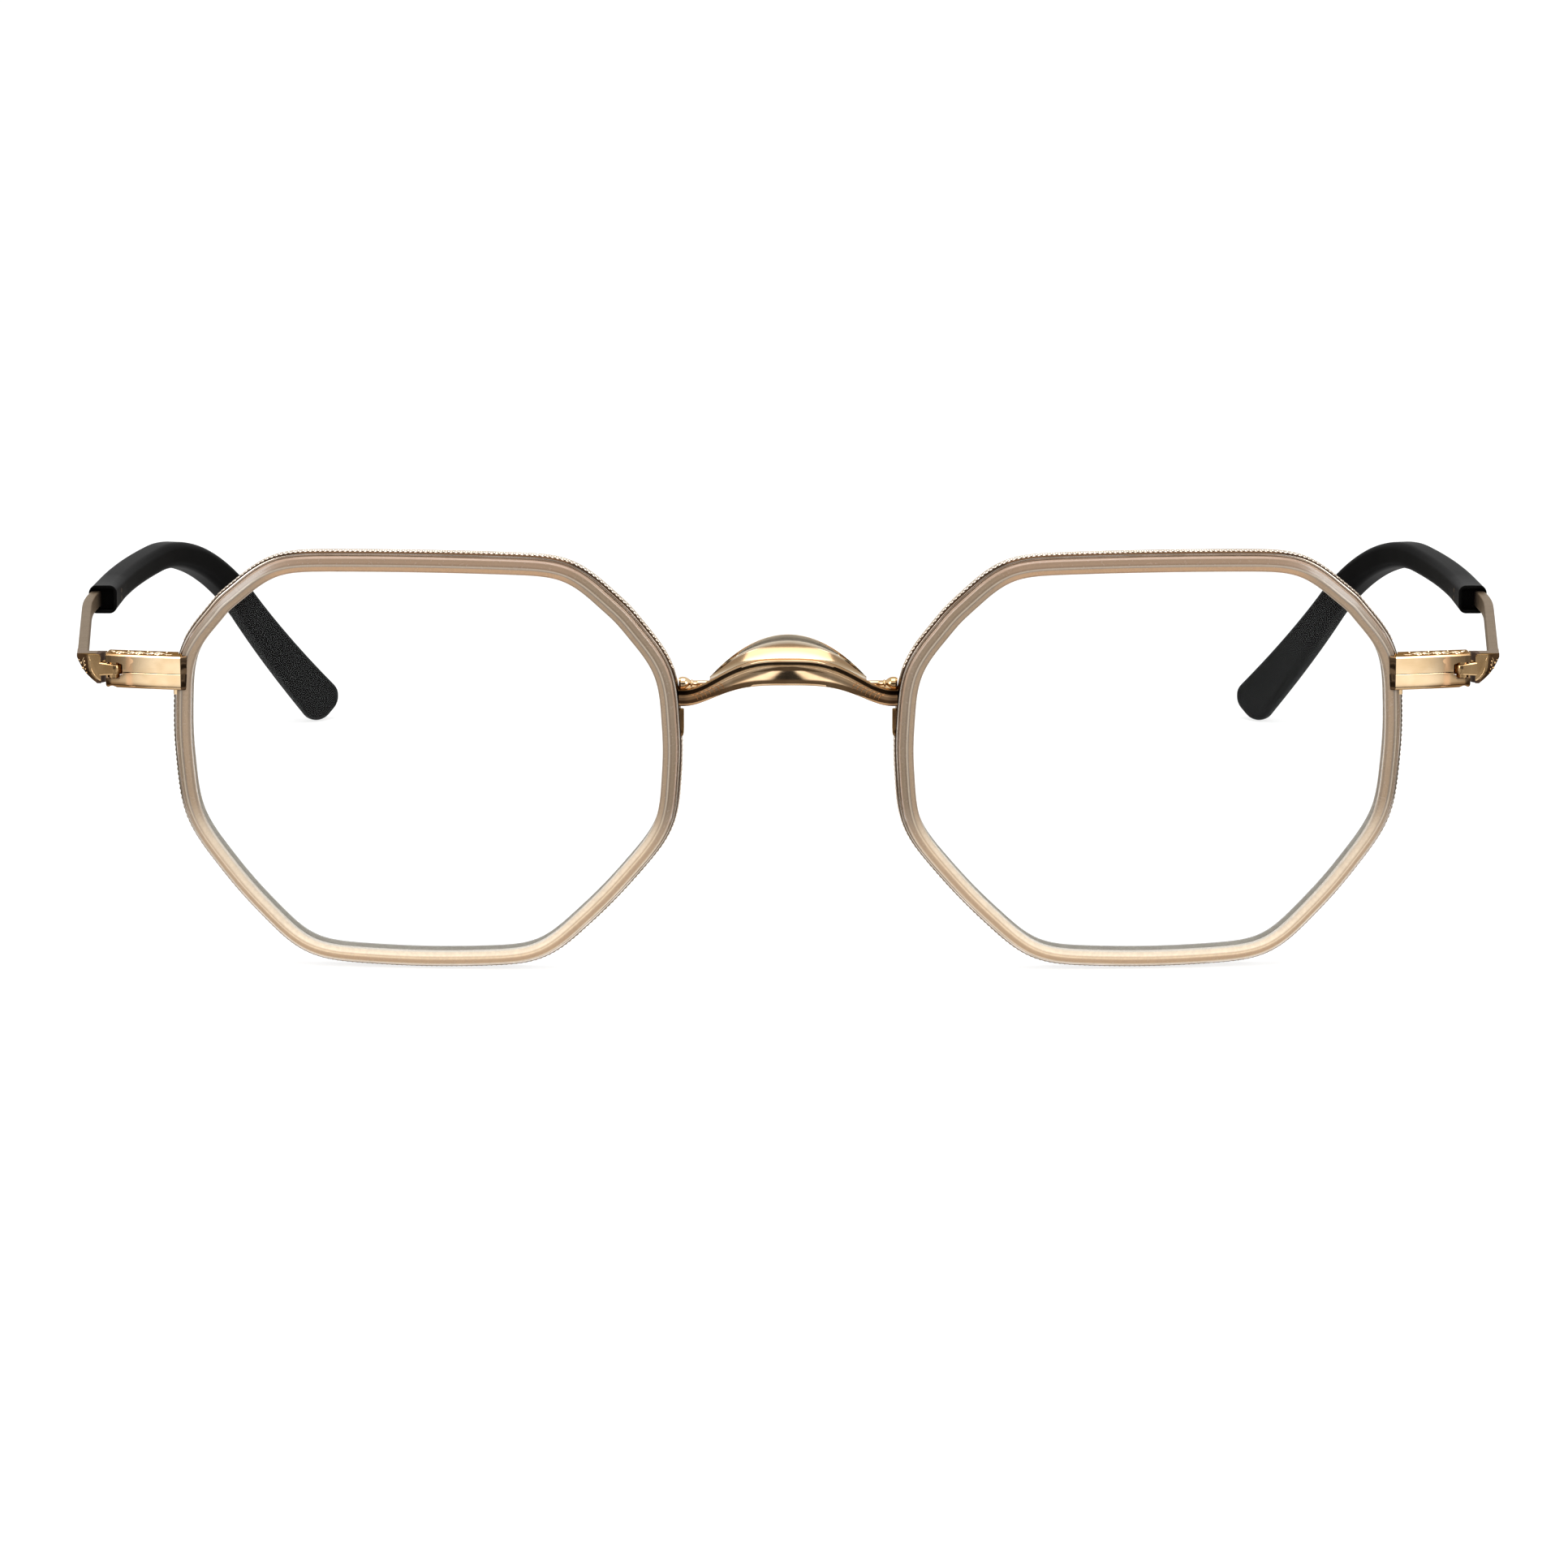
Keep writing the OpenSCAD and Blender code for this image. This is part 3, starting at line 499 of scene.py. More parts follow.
# Liners: cloudy taupe plastic, moulded as a ring with a ridge along its front and a groove for
# the lens. Each is pressed into its metal rim and stands out in front of it.
LINER_W = 1.4
RIDGE_LINE = 0.49
HIGHLIGHT_SHIFT = 0.3
GROOVE = (0.5, 0.03, 1.27)
LINER_PROFILE = [
    (0.0, -0.42), (0.03, -0.49), (0.1, -0.53), (0.2, -0.56), (0.4, -0.625), (0.58, -0.68),
    (0.66, -0.698), (0.74, -0.69), (0.9, -0.64), (1.1, -0.58), (1.26, -0.54), (1.35, -0.5),
    (1.4, -0.42), (1.4, 0.3), (1.4, 1.1), (1.4, 1.5), (1.36, 1.57), (1.28, 1.6), (0.7, 1.6),
    (0.14, 1.6), (0.05, 1.57), (0.0, 1.48), (0.0, GROOVE[2]), (GROOVE[0], GROOVE[2]),
    (GROOVE[0], GROOVE[1]), (0.0, GROOVE[1]), (0.0, -0.2),
]


def swept_round_eye(profile, marks=None):
    rings = np.stack([round_eye(grow, depth) for grow, depth in profile], axis=1)
    return loft(rings, loop=True, marks=marks)


def liner_shell():
    """Ring marked across from its inner edge, by depth, and by how far each place faces down."""
    across = np.array([grow / LINER_W for grow, depth in LINER_PROFILE])
    depth = np.array([depth for grow, depth in LINER_PROFILE])
    count = len(EYE_POINTS)
    low = np.repeat(np.clip(0.5 - EYE_OUTWARD[:, 1] / 2, 0, 1), len(LINER_PROFILE))
    # The painted highlight line lies at RIDGE_LINE across the front, and moves towards the outer edge
    # where the ring faces the temple.
    highlight_at = RIDGE_LINE + HIGHLIGHT_SHIFT * np.clip(EYE_OUTWARD[:, 0], 0, 1) ** 3
    highlight_at = np.repeat(highlight_at, len(LINER_PROFILE))
    across = np.tile(across, count)
    across = np.where(across < highlight_at, across / highlight_at / 2, 1 - (1 - across) / (1 - highlight_at) / 2)
    marks = {"across": across, "depth": np.tile(depth, count), "low": low}
    return swept_round_eye(LINER_PROFILE, marks)


taupe = Finish("taupe_plastic", IOR=1.49, Coat_Weight=0.4, Coat_Roughness=0.08)
across = taupe.mark("across")
low = taupe.mark("low")
# Bands of painted light and shade across the front: one set for the top, one for the sides, and a
# lighter set for the lower part of the ring, whose inner face looks up. Each set has a painted
# highlight line near the ridge.
top_painted_bands = taupe.ramp(across, [
    (0.0, 190, 166, 144), (0.06, 150, 122, 98), (0.16, 182, 146, 112), (0.36, 178, 144, 110),
    (0.42, 140, 126, 112), (0.47, 166, 152, 136), (0.52, 164, 149, 132), (0.57, 122, 100, 80),
    (0.7, 138, 113, 90), (0.88, 132, 108, 86), (0.95, 160, 132, 110),
])
side_painted_bands = taupe.ramp(across, [
    (0.0, 172, 152, 130), (0.06, 130, 112, 94), (0.16, 156, 134, 110), (0.34, 150, 128, 104),
    (0.41, 120, 109, 98), (0.46, 166, 152, 134), (0.52, 168, 153, 134), (0.57, 114, 98, 82),
    (0.7, 134, 116, 96), (0.88, 128, 110, 90), (0.95, 158, 132, 110),
])
lower_painted_bands = taupe.ramp(across, [
    (0.0, 204, 194, 180), (0.08, 230, 212, 188), (0.3, 244, 226, 200), (0.42, 206, 176, 144),
    (0.5, 232, 208, 174), (0.58, 206, 176, 142), (0.64, 184, 152, 118), (0.84, 178, 146, 112),
    (0.95, 226, 206, 180),
])
cloud = taupe.grain(0.35, detail=3)
specks = taupe.grain(0.07, detail=1).band(0.66, 0.74)
bands = taupe.mix(low.band(0.01, 0.12), top_painted_bands, side_painted_bands)
bands = taupe.mix(low.band(0.55, 0.97), bands, lower_painted_bands)
inside = taupe.mark("depth")
inside_lines = taupe.node(
    "ShaderNodeTexNoise", {"noise_dimensions": "1D"}, {"W": inside * 9, "Scale": 1})
behind = taupe.mix(inside_lines.band(0.4, 0.6), tone(140, 132, 122), tone(222, 217, 210))
behind = taupe.mix(low.band(0.5, 0.8), tone(168, 153, 138), behind)
bands = taupe.mix(inside.band(0.0, 0.05), bands, behind)
bands = taupe.mix(cloud.band(0.35, 0.7) * 0.14, bands, tone(110, 88, 70))
bands = taupe.mix(specks * 0.1, bands, tone(226, 204, 176))
taupe.set(Base_Color=bands, Roughness=cloud * 0.12 + 0.2)
taupe.relief(taupe.grain(0.2, detail=2), 0.0015)

for side in SIDES:
    liner = make_piece(f"plastic_liner_{side}", liner_shell().moved(LENS), side, taupe, 60)
    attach(liner, "front")
    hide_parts(f"liner_{side}")

# Metal rims: rolled gold-coloured wire with a half-round front edge, and two rows of staggered
# grains run round its outer side by a knurling wheel. The closing screw draws each rim shut on
# its liner.
BAND_MIDDLE = 1.58
BAND_HALF = 0.16
BAND_RISE = 0.15
RIM_PROFILE = [(BAND_MIDDLE + BAND_HALF * math.sin(a), BAND_RISE * (1 - math.cos(a)))
               for a in np.linspace(-1.5, 1.5, 11)]
RIM_PROFILE += [
    (1.715, 0.22), (1.715, 0.27), (1.765, 0.31), (1.775, 0.36), (1.775, 0.95), (1.765, 1.0),
    (1.715, 1.04), (1.75, 1.1), (1.8, 1.16), (1.8, 1.24), (1.75, 1.3), (1.48, 1.3), (1.42, 1.25),
]
GRAIN_ROWS = (0.48, 0.81)
GRAIN_PITCH = 0.49
GRAIN_R = 0.19
GRAIN_SEAT = 1.765
GRAIN_H = 0.105
GRAIN_SIDES = 8
GRAIN_STEPS = (-20, 0, 32, 62, 84)
END_ZONE = (6.1, 10.6)
BRIDGE_ZONE = (2.6, 8.7)


def places_along(grow, pitch, shift):
    """Places round the opening at equal distances, as an outline index with its fraction."""
    line = EYE_POINTS + EYE_OUTWARD * grow
    steps = np.linalg.norm(np.roll(line, -1, axis=0) - line, axis=1)
    length = np.concatenate(([0], np.cumsum(steps)))
    count = round(length[-1] / pitch)
    wanted = (np.arange(count) + shift) * length[-1] / count
    return np.interp(wanted, length, np.arange(len(line) + 1))


def between(values, place):
    k = int(place) % len(values)
    return values[k] + (values[(k + 1) % len(values)] - values[k]) * (place % 1)


def rim_grains():
    """Grains seated round the rim, but not where the end piece and the bridge cover it."""
    made = []
    for row, depth in enumerate(GRAIN_ROWS):
        for place in places_along(GRAIN_SEAT, GRAIN_PITCH, row / 2):
            flat = between(EYE_POINTS, place)
            outward = between(EYE_OUTWARD, place)
            outward = outward / np.linalg.norm(outward)
            if flat[0] > EYE_W / 2 - 1 and END_ZONE[0] < flat[1] < END_ZONE[1]:
                continue
            if flat[0] < 1 - EYE_W / 2 and BRIDGE_ZONE[0] < flat[1] < BRIDGE_ZONE[1]:
                continue
            seat = on_lens_curve(flat + outward * GRAIN_SEAT, depth)
            up = np.array((outward[0], 0, outward[1]))
            along = np.array((-outward[1], 0, outward[0]))
            back = np.array((0, 1, 0))
            rings = []
            for e in np.radians(GRAIN_STEPS):
                middle = seat + up * GRAIN_H * math.sin(e)
                rings.append([
                    middle + (along * math.cos(a) + back * math.sin(a)) * GRAIN_R * math.cos(e)
                    for a in full_turn(GRAIN_SIDES)
                ])
            made.append(loft(rings))
    return made


# Dark brown for patina and painted shade in the rims' hollows, and for painted shade on the bar and the
# end pieces.
PATINA_AND_SHADE = tone(66, 47, 32)
EDGE_TINT = (0.64, 0.52, 0.4, 1)
PALE_EDGE = (0.82, 0.75, 0.66, 1)


def gold_finish(name, rough, light, mid, edge=EDGE_TINT):
    """Rolled or polished gold-coloured metal, with a faint change of tint and fine wear."""
    made = Finish(name, Metallic=1.0, Specular_Tint=edge)
    worn = made.grain(0.15, (6, 6, 1), 2)
    made.tint = made.mix(made.grain(2.5, detail=2).band(0.3, 0.7), mid, light)
    made.set(Base_Color=made.tint, Roughness=worn * 0.08 + rough)
    made.relief(worn, 0.0006)
    return made


rolled = gold_finish("gold_metal", 0.12, tone(228, 217, 205), tone(204, 190, 174), PALE_EDGE)
# Patina and painted shade darken the rim's hollows: the flank beside the front edge, the side between
# the grains, and each grain's foot.
rolled.set(Base_Color=rolled.mix(rolled.mark("peak").band(0.1, 0.75), PATINA_AND_SHADE, rolled.tint))


def marked(shell, **functions):
    """The same shell, whose points carry the values that the functions give for them."""
    marks = {name: np.asarray(f(shell.points), float) for name, f in functions.items()}
    return Shell(shell.points, shell.faces, marks)


def rim_shell():
    """Rim and grains, with a mark that is 0 where patina and painted shade lie in a hollow or at a
    grain's foot, and 1 on what is worn.
    """
    grows, depths = np.array(RIM_PROFILE).T
    peak = np.where(depths < 0.2, np.interp(grows, (1.42, 1.46, 1.6, 1.68), (0.3, 1, 1, 0)), 0)
    peak = np.where((depths > 0.3) & (depths < 1.01), 0.15, peak)
    peak = np.where((depths > 1.09) & (grows > 1.7), 0.7, peak)
    band = swept_round_eye(RIM_PROFILE, {"peak": np.tile(peak, len(EYE_POINTS))})
    grains = rim_grains()
    height = np.repeat(np.linspace(0, 1.4, len(GRAIN_STEPS)), GRAIN_SIDES)
    height = np.tile(height, len(grains))
    grains = joined(grains)
    return joined([band, Shell(grains.points, grains.faces, {"peak": height})])


for side in SIDES:
    rim = make_piece(f"metal_rim_{side}", rim_shell().moved(LENS), side, rolled)
    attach(rim, "front")
    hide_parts(f"rim_{side}")

# Bridge bar: an arched strip, bowed forward, soldered between the two rims. Its front is
# polished and slightly domed, with a worn scroll of slanting flutes near each end.
BAR_Z = 30.503
BAR_END_Y = 0.8506
BAR_HALF = 10.68
BAR_REACH = 10.6
BAR_H = 2.45
BAR_T = 1.0
BAR_RISE = 3.75
BAR_ARCH = 0.8
BAR_BOW = 1.2
BAR_DOME = 0.17
BAR_ROUND = ((0.16, 0), (0.04, 0.06), (0, 0.2))
BAR_STEPS = 72
EDGE_UP = (1.08, 3.29, 1.5)
EDGE_LOW = (-1.45, 2.37, 1.65)
FOOT_AT = 0.97


def bar_drop(t):
    return BAR_RISE * (BAR_ARCH * t * t + (1 - BAR_ARCH) * t ** 4)


def bar_front(t):
    return BAR_END_Y - BAR_BOW * (1 - t * t)


def bar_edge(x, edge):
    """Height of the bar's upper or lower edge, which levels out at the feet by the rims."""
    start, fall, power = edge
    share = np.minimum(1, abs(x) / BAR_HALF / FOOT_AT) ** power
    return BAR_Z + start - fall * np.sin(share * math.pi / 2) ** 2


def bar_face(x, v):
    """Point of the bar's front, with v from -1 at its lower edge to 1 at its upper edge."""
    up, low = bar_edge(x, EDGE_UP), bar_edge(x, EDGE_LOW)
    t = abs(x) / BAR_HALF
    return np.array((x, bar_front(t) + BAR_DOME * v * v, (up + low) / 2 + v * (up - low) / 2))


def bar_section(x):
    front = [bar_face(x, v) for v in np.linspace(-0.94, 0.94, 13)]
    top = bar_face(x, 1) + (0, 0.07, 0)
    low = bar_face(x, -1) + (0, 0.07, 0)
    t = abs(x) / BAR_HALF
    back = bar_front(t) + BAR_T
    rear = [np.array((x, back - cut, top[2] - drop)) for cut, drop in BAR_ROUND]
    rear += [np.array((x, back - cut, low[2] + drop)) for cut, drop in BAR_ROUND[::-1]]
    return front + [top] + rear + [low]


bar_gold = gold_finish("bar_gold", 0.02, tone(234, 202, 164), tone(210, 174, 134))
bar_along = bar_gold.mark("along")
bar_up = bar_gold.mark("up")
# Painted shade darkens the bar towards its ends, over the upper part of its front, along its lower edge
# and at its feet by the rims.
bar_shaded_tone = bar_gold.mix(bar_along.band(4.5, 9.0) * 0.7, bar_gold.tint, tone(140, 96, 54))
bar_painted_shade = bar_up.band(0.3, 0.8) * 0.45 + (bar_up * -1).band(0.75, 0.98) * 0.5
bar_painted_shade = bar_painted_shade + bar_along.band(9.2, 10.2) * 0.5
bar_gold.set(Base_Color=bar_gold.mix(bar_painted_shade.band(0, 1), bar_shaded_tone, PATINA_AND_SHADE))


def up_the_bar(p):
    """From -1 at the lower edge of the bar's front to 1 at its upper edge, and 0 behind it."""
    up, low = bar_edge(p[:, 0], EDGE_UP), bar_edge(p[:, 0], EDGE_LOW)
    in_front = p[:, 1] < bar_front(abs(p[:, 0]) / BAR_HALF) + 0.3
    return (p[:, 2] - (up + low) / 2) / (up - low) * 2 * in_front


bar_shell = marked(
    loft([bar_section(x) for x in np.linspace(-BAR_REACH, BAR_REACH, BAR_STEPS)]),
    along=lambda p: abs(p[:, 0]), up=up_the_bar)
bar = make_piece("bridge_bar_polished", bar_shell.moved(FRONT), "left", bar_gold)
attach(bar, "front")
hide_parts("bridge_bar")


def wire(path, radius, sides=7, taper=0.35):
    """Round wire along a path of points, thinner towards its ends."""
    path = np.array(path, float)
    rings = []
    side_way = None
    for k, p in enumerate(path):
        ahead = path[min(k + 1, len(path) - 1)] - path[max(k - 1, 0)]
        ahead /= np.linalg.norm(ahead)
        if side_way is None:
            side_way = np.cross(ahead, (0.3, 0.2, 0.93))
        side_way = side_way - ahead * side_way.dot(ahead)
        side_way /= np.linalg.norm(side_way)
        up = np.cross(ahead, side_way)
        share = k / (len(path) - 1)
        r = radius * (taper + (1 - taper) * min(1, 5 * min(share, 1 - share)))
        rings.append([p + (side_way * math.cos(a) + up * math.sin(a)) * r
                      for a in full_turn(sides)])
    return loft(rings)


STROKE_WIRE = 0.035
FLUTE = ((0.0, -0.5), (0.1, -0.15), (0.32, 0.18), (0.62, 0.42))
STROKES = [[(x + dx, v) for dx, v in FLUTE] for x in np.arange(6.2, 8.8, 0.42)]


def stroke_path(stroke):
    """Finely stepped path on the bar's front through a few places on it."""
    x, v = np.array(stroke).T
    fine = np.linspace(0, len(x) - 1, 4 * len(x))
    k = np.arange(len(x))
    return [bar_face(a, b) for a, b in zip(np.interp(fine, k, x), np.interp(fine, k, v))]


reddish = gold_finish("reddish_gold", 0.2, tone(196, 142, 92), tone(164, 112, 70))
strokes = joined([wire(stroke_path(s), STROKE_WIRE, 6) for s in STROKES])
for side in SIDES:
    chased = make_piece(f"bridge_bar_scroll_{side}", strokes.moved(FRONT), side, reddish, 60)
    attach(chased, "front")

# Nose saddle: a pressed plate, hollowed between the bar and its higher, rolled rear lip,
# and soldered along the back of the bar. It rests on the bridge of the nose.
SADDLE_HALF = 7.6
SADDLE_D = 3.6
SADDLE_T = 0.8
SADDLE_UP = 0.5
SADDLE_TAPER = 1.6
LIP_UP = 1.38
LIP_RISE = 4
HOLLOW = 0.9
SEAT_GAP = 0.02
LIP_R = 0.26
SADDLE_STEPS = 49
DEEP_GOLD = tone(126, 94, 60)


def saddle_top(x, v):
    """Point of the saddle's upper face, with v from 0 at the bar to 1 at the rear lip."""
    t = x / SADDLE_HALF
    tb = abs(x) / BAR_HALF
    front_z = BAR_Z - bar_drop(tb) + SADDLE_UP
    lip_z = BAR_Z + BAR_H / 2 + LIP_UP - LIP_RISE * t * t
    y = bar_front(tb) + BAR_T + SEAT_GAP + (SADDLE_D - SADDLE_TAPER * t * t) * v
    z = front_z + (lip_z - front_z) * v - HOLLOW * (1 - t * t) * 4 * v * (1 - v)
    return np.array((x, y, z))


def saddle_section(x):
    top = [saddle_top(x, v) for v in np.linspace(0, 0.9, 15)]
    lip = saddle_top(x, 1) - (0, LIP_R, LIP_R)
    roll = [lip + (0, LIP_R * math.sin(a), LIP_R * math.cos(a)) for a in np.linspace(-0.3, 2.6, 8)]
    under = [saddle_top(x, v) - (0, 0, SADDLE_T) for v in np.linspace(0.86, 0, 9)]
    return top + roll + under


def across_saddle(p):
    """From 0 at the bar to 1 at the rear lip."""
    t = p[:, 0] / SADDLE_HALF
    front = bar_front(abs(p[:, 0]) / BAR_HALF) + BAR_T + SEAT_GAP
    return (p[:, 1] - front) / (SADDLE_D - SADDLE_TAPER * t * t)


saddle_shell = marked(
    loft([saddle_section(x) for x in np.linspace(-SADDLE_HALF, SADDLE_HALF, SADDLE_STEPS)]),
    across=across_saddle)
saddle_gold = gold_finish("saddle_gold", 0.1, tone(232, 204, 164), tone(212, 178, 132), PALE_EDGE)
saddle_across = saddle_gold.mark("across")
# Bands of painted light and shade across the plate: dark by the bar, a pale painted highlight in the
# hollow, brown below the lip, and a pale painted highlight on the lip.
saddle_painted_bands = saddle_gold.ramp(saddle_across, [
    (0.0, 96, 76, 56), (0.12, 170, 146, 116), (0.26, 240, 230, 212), (0.42, 232, 220, 198),
    (0.52, 190, 168, 138), (0.7, 150, 124, 94), (0.82, 146, 120, 92), (0.9, 240, 228, 206),
])
saddle_gold.set(
    Base_Color=saddle_gold.mix(saddle_gold.grain(2.0).band(0.3, 0.7) * 0.12, saddle_painted_bands, DEEP_GOLD),
    Roughness=saddle_across.band(0.86, 0.95) * 0.38 + 0.12,
)
saddle = make_piece("nose_saddle_pressed", saddle_shell.moved(FRONT), "left", saddle_gold, 60)
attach(saddle, "front")
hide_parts("nose_saddle")

# Bridge arms: turned pins with an onion-shaped bulb, soldered between the saddle's ends and
# the rims, each with a few grains of solder below its bulb.
ARM_Z = 28.553
ARM_Y = 2.4206
ARM_FROM = SADDLE_HALF - 0.1
ARM_PROFILE = [
    (0.0, 0.0), (0.28, 0.0), (0.33, 0.06), (0.34, 0.8), (0.34, 1.72), (0.4, 1.76), (0.43, 1.83),
    (0.4, 1.9), (0.35, 1.95), (0.42, 2.05), (0.54, 2.22), (0.65, 2.42), (0.7, 2.64), (0.7, 2.84),
    (0.64, 3.0), (0.6, 3.1), (0.0, 3.12),
]
TURN_SIDES = 28


def turned(profile, sides=TURN_SIDES):
    """Shell of revolution about the z axis from radii and heights."""
    rings = [[(max(r, 0.001) * math.cos(a), max(r, 0.001) * math.sin(a), h) for a in full_turn(sides)]
             for r, h in profile]
    return loft(rings)


DROPS = [((10.1, 1.05, 27.86), 0.23), ((10.14, 1.25, 28.06), 0.2), ((9.8, 1.15, 27.8), 0.14)]


def ball(radius, sides=TURN_SIDES):
    angles = np.linspace(-1.57, 1.57, 11)
    return turned([(radius * math.cos(a), radius * math.sin(a)) for a in angles], sides)


polished = gold_finish("polished_gold", 0.08, tone(226, 196, 156), tone(198, 164, 118))
to_rim = Matrix.Rotation(math.radians(90), 4, "Y")
for side in SIDES:
    arm = turned(ARM_PROFILE).moved(FRONT @ Matrix.Translation((ARM_FROM, ARM_Y, ARM_Z)) @ to_rim)
    drops = [ball(radius).moved(FRONT @ Matrix.Translation(place)) for place, radius in DROPS]
    piece = make_piece(f"bridge_arm_turned_{side}", joined([arm] + drops), side, polished, 60)
    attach(piece, "front")
    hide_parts(f"bridge_arm_{side}")

# Solder pads: narrow straps that run down the nose side of each rim below the bar.
PAD_X = (10.1, 10.6)
PAD_Y = (0.95, 1.75)
PAD_ROUND = 0.12
PAD_RINGS = ((26.3, 1), (24.4, 1), (24.0, 0.92), (23.75, 0.7), (23.62, 0.35))


def pad_shell():
    """Strap that narrows to a tongue at its lower end."""
    mid = sum(PAD_Y) / 2
    rings = []
    for z, share in PAD_RINGS:
        half = (PAD_Y[1] - PAD_Y[0]) / 2 * share
        out = PAD_X[1] - (PAD_X[1] - PAD_X[0]) * (0.5 + 0.5 * share)
        rings.append([
            (PAD_X[1], mid - half, z), (out + PAD_ROUND, mid - half, z), (out, mid - half * 0.6, z),
            (out, mid + half * 0.6, z), (out + PAD_ROUND, mid + half, z), (PAD_X[1], mid + half, z),
        ])
    return loft(rings)


darkened = gold_finish("darkened_gold", 0.22, tone(110, 84, 56), tone(84, 62, 42))
for side in SIDES:
    pad = make_piece(f"solder_pad_{side}", pad_shell().moved(FRONT), side, darkened)
    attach(pad, "front")
    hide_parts(f"bridge_pad_{side}")

# End pieces: milled in two halves that the closing screw draws together over the split rim.
# Their outer ends are the two prongs of the hinge, and a scrolling vine is chased along the top.
END_ROOT = (58.9573, 3.0579, 0)
END_SWEEP = 8
END_LEN = 7.5535
END_D = 2.1
SPLIT_Z = 29.3033
END_LOW = 27.6533
END_TOP = 31.0533
END_LAP = 0.475
SPLIT_HALF = 0.015
EDGE_CHAMFER = 0.15
SPLIT_CHAMFER = 0.03
END_BOW = 0.006
END = FRONT @ stance(END_ROOT, END_SWEEP, "Z")
HINGE_AT = (65.6475, 5.05845, 29.3033)
HINGE_TILT = 8.9
HINGE = FRONT @ stance(HINGE_AT, -HINGE_TILT, "X")
IN_END = END.inverted()


def carved(shell, tools):
    """Shell with other shells cut out of it."""
    body = placed("blank", solid_mesh("blank", shell.points, shell.faces))
    cutters = []
    for tool in tools:
        cutters.append(placed("cutter", solid_mesh("cutter", tool.points, tool.faces)))
        cut = body.modifiers.new("cut", "BOOLEAN")
        cut.operation = "DIFFERENCE"
        cut.solver = "EXACT"
        cut.object = cutters[-1]
    bpy.context.view_layer.update()
    whole = body.evaluated_get(bpy.context.evaluated_depsgraph_get())
    mesh = bpy.data.meshes.new_from_object(whole)
    result = Shell([v.co[:] for v in mesh.vertices], [p.vertices[:] for p in mesh.polygons])
    for spent in [body] + cutters:
        bpy.data.objects.remove(spent)
    return result


def prism(outline, low, high, axis):
    """Straight solid between two heights along an axis, over an outline in the other two."""
    return loft([[np.insert(np.array(p, float), axis, h) for p in outline] for h in (low, high)])


def eye_space(grow, depth):
    """Everything behind an outline of the opening, to be cut out of what laps over the rim."""
    front = [on_lens_curve((EYE_POINTS + EYE_OUTWARD * grow) * s, depth) for s in (0.02, 0.5, 1)]
    rear = [ring * (1, 0, 1) + (0, 9, 0) for ring in front[::-1]]
    return loft(front + rear)


def end_half(section):
    """Half of an end piece: its section along the piece, with a bevelled inner end."""
    mid = sum(z for y, z in section) / len(section)
    rings = [[(-END_LAP, max(y, END_LAP), z) for y, z in section]]
    for x in list(np.linspace(0, END_LEN - 0.12, 16)) + [END_LEN]:
        bow = END_BOW * max(0, x - 1) ** 2
        shrink = 0.06 if x == END_LEN else 0
        rings.append([(x, y + (bow + shrink if y < 0.5 else 0), z + (shrink if z < mid else -shrink))
                      for y, z in section])
    return loft(rings)


UPPER_SECTION = [
    (0, SPLIT_Z + SPLIT_HALF + SPLIT_CHAMFER), (0, END_TOP - EDGE_CHAMFER), (EDGE_CHAMFER, END_TOP),
    (END_D - 0.1, END_TOP), (END_D, END_TOP - 0.1), (END_D, SPLIT_Z + SPLIT_HALF),
    (SPLIT_CHAMFER, SPLIT_Z + SPLIT_HALF),
]
LOWER_ROUND = 0.4
LOWER_SECTION = [(SPLIT_CHAMFER, SPLIT_Z - SPLIT_HALF), (END_D, SPLIT_Z - SPLIT_HALF),
                 (END_D, END_LOW + 0.1), (END_D - 0.1, END_LOW)]
LOWER_SECTION += [
    (LOWER_ROUND * (1 - math.sin(a)), END_LOW + LOWER_ROUND * (1 - math.cos(a)))
    for a in np.linspace(0, math.pi / 2, 6)
]
LOWER_SECTION += [(0, SPLIT_Z - SPLIT_HALF - SPLIT_CHAMFER)]

LOBE_DEPTH = 0.1
UPPER_LOBE = [(x, END_TOP - down) for x, down in (
    (7.8, 0.2), (5.6, 0.22), (5.1, 0.27), (4.8, 0.42), (4.7, 0.6), (4.82, 0.78), (5.1, 0.94),
    (5.45, 1.08), (5.75, 1.26), (5.9, 1.45), (7.8, 1.45),
)]
LOWER_LEAF = [(x, SPLIT_Z - down) for x, down in (
    (7.8, 0.8), (6.4, 0.78), (6.05, 0.92), (6.35, 1.06), (7.0, 1.14), (7.8, 1.14),
)]
WEDGE_DEPTH = 0.26
SPLIT_WEDGE = [(x, SPLIT_Z + up) for x, up in (
    (6.1, 0.32), (5.75, 0.3), (5.3, 0.2), (4.9, 0.09), (4.3, 0), (5.4, -0.05), (6.1, -0.08),
)]
lobe_cut = prism(UPPER_LOBE, -1, LOBE_DEPTH, 1)
leaf_cut = prism(LOWER_LEAF, -1, LOBE_DEPTH, 1)
wedge_cut = prism(SPLIT_WEDGE, -1, WEDGE_DEPTH, 1)

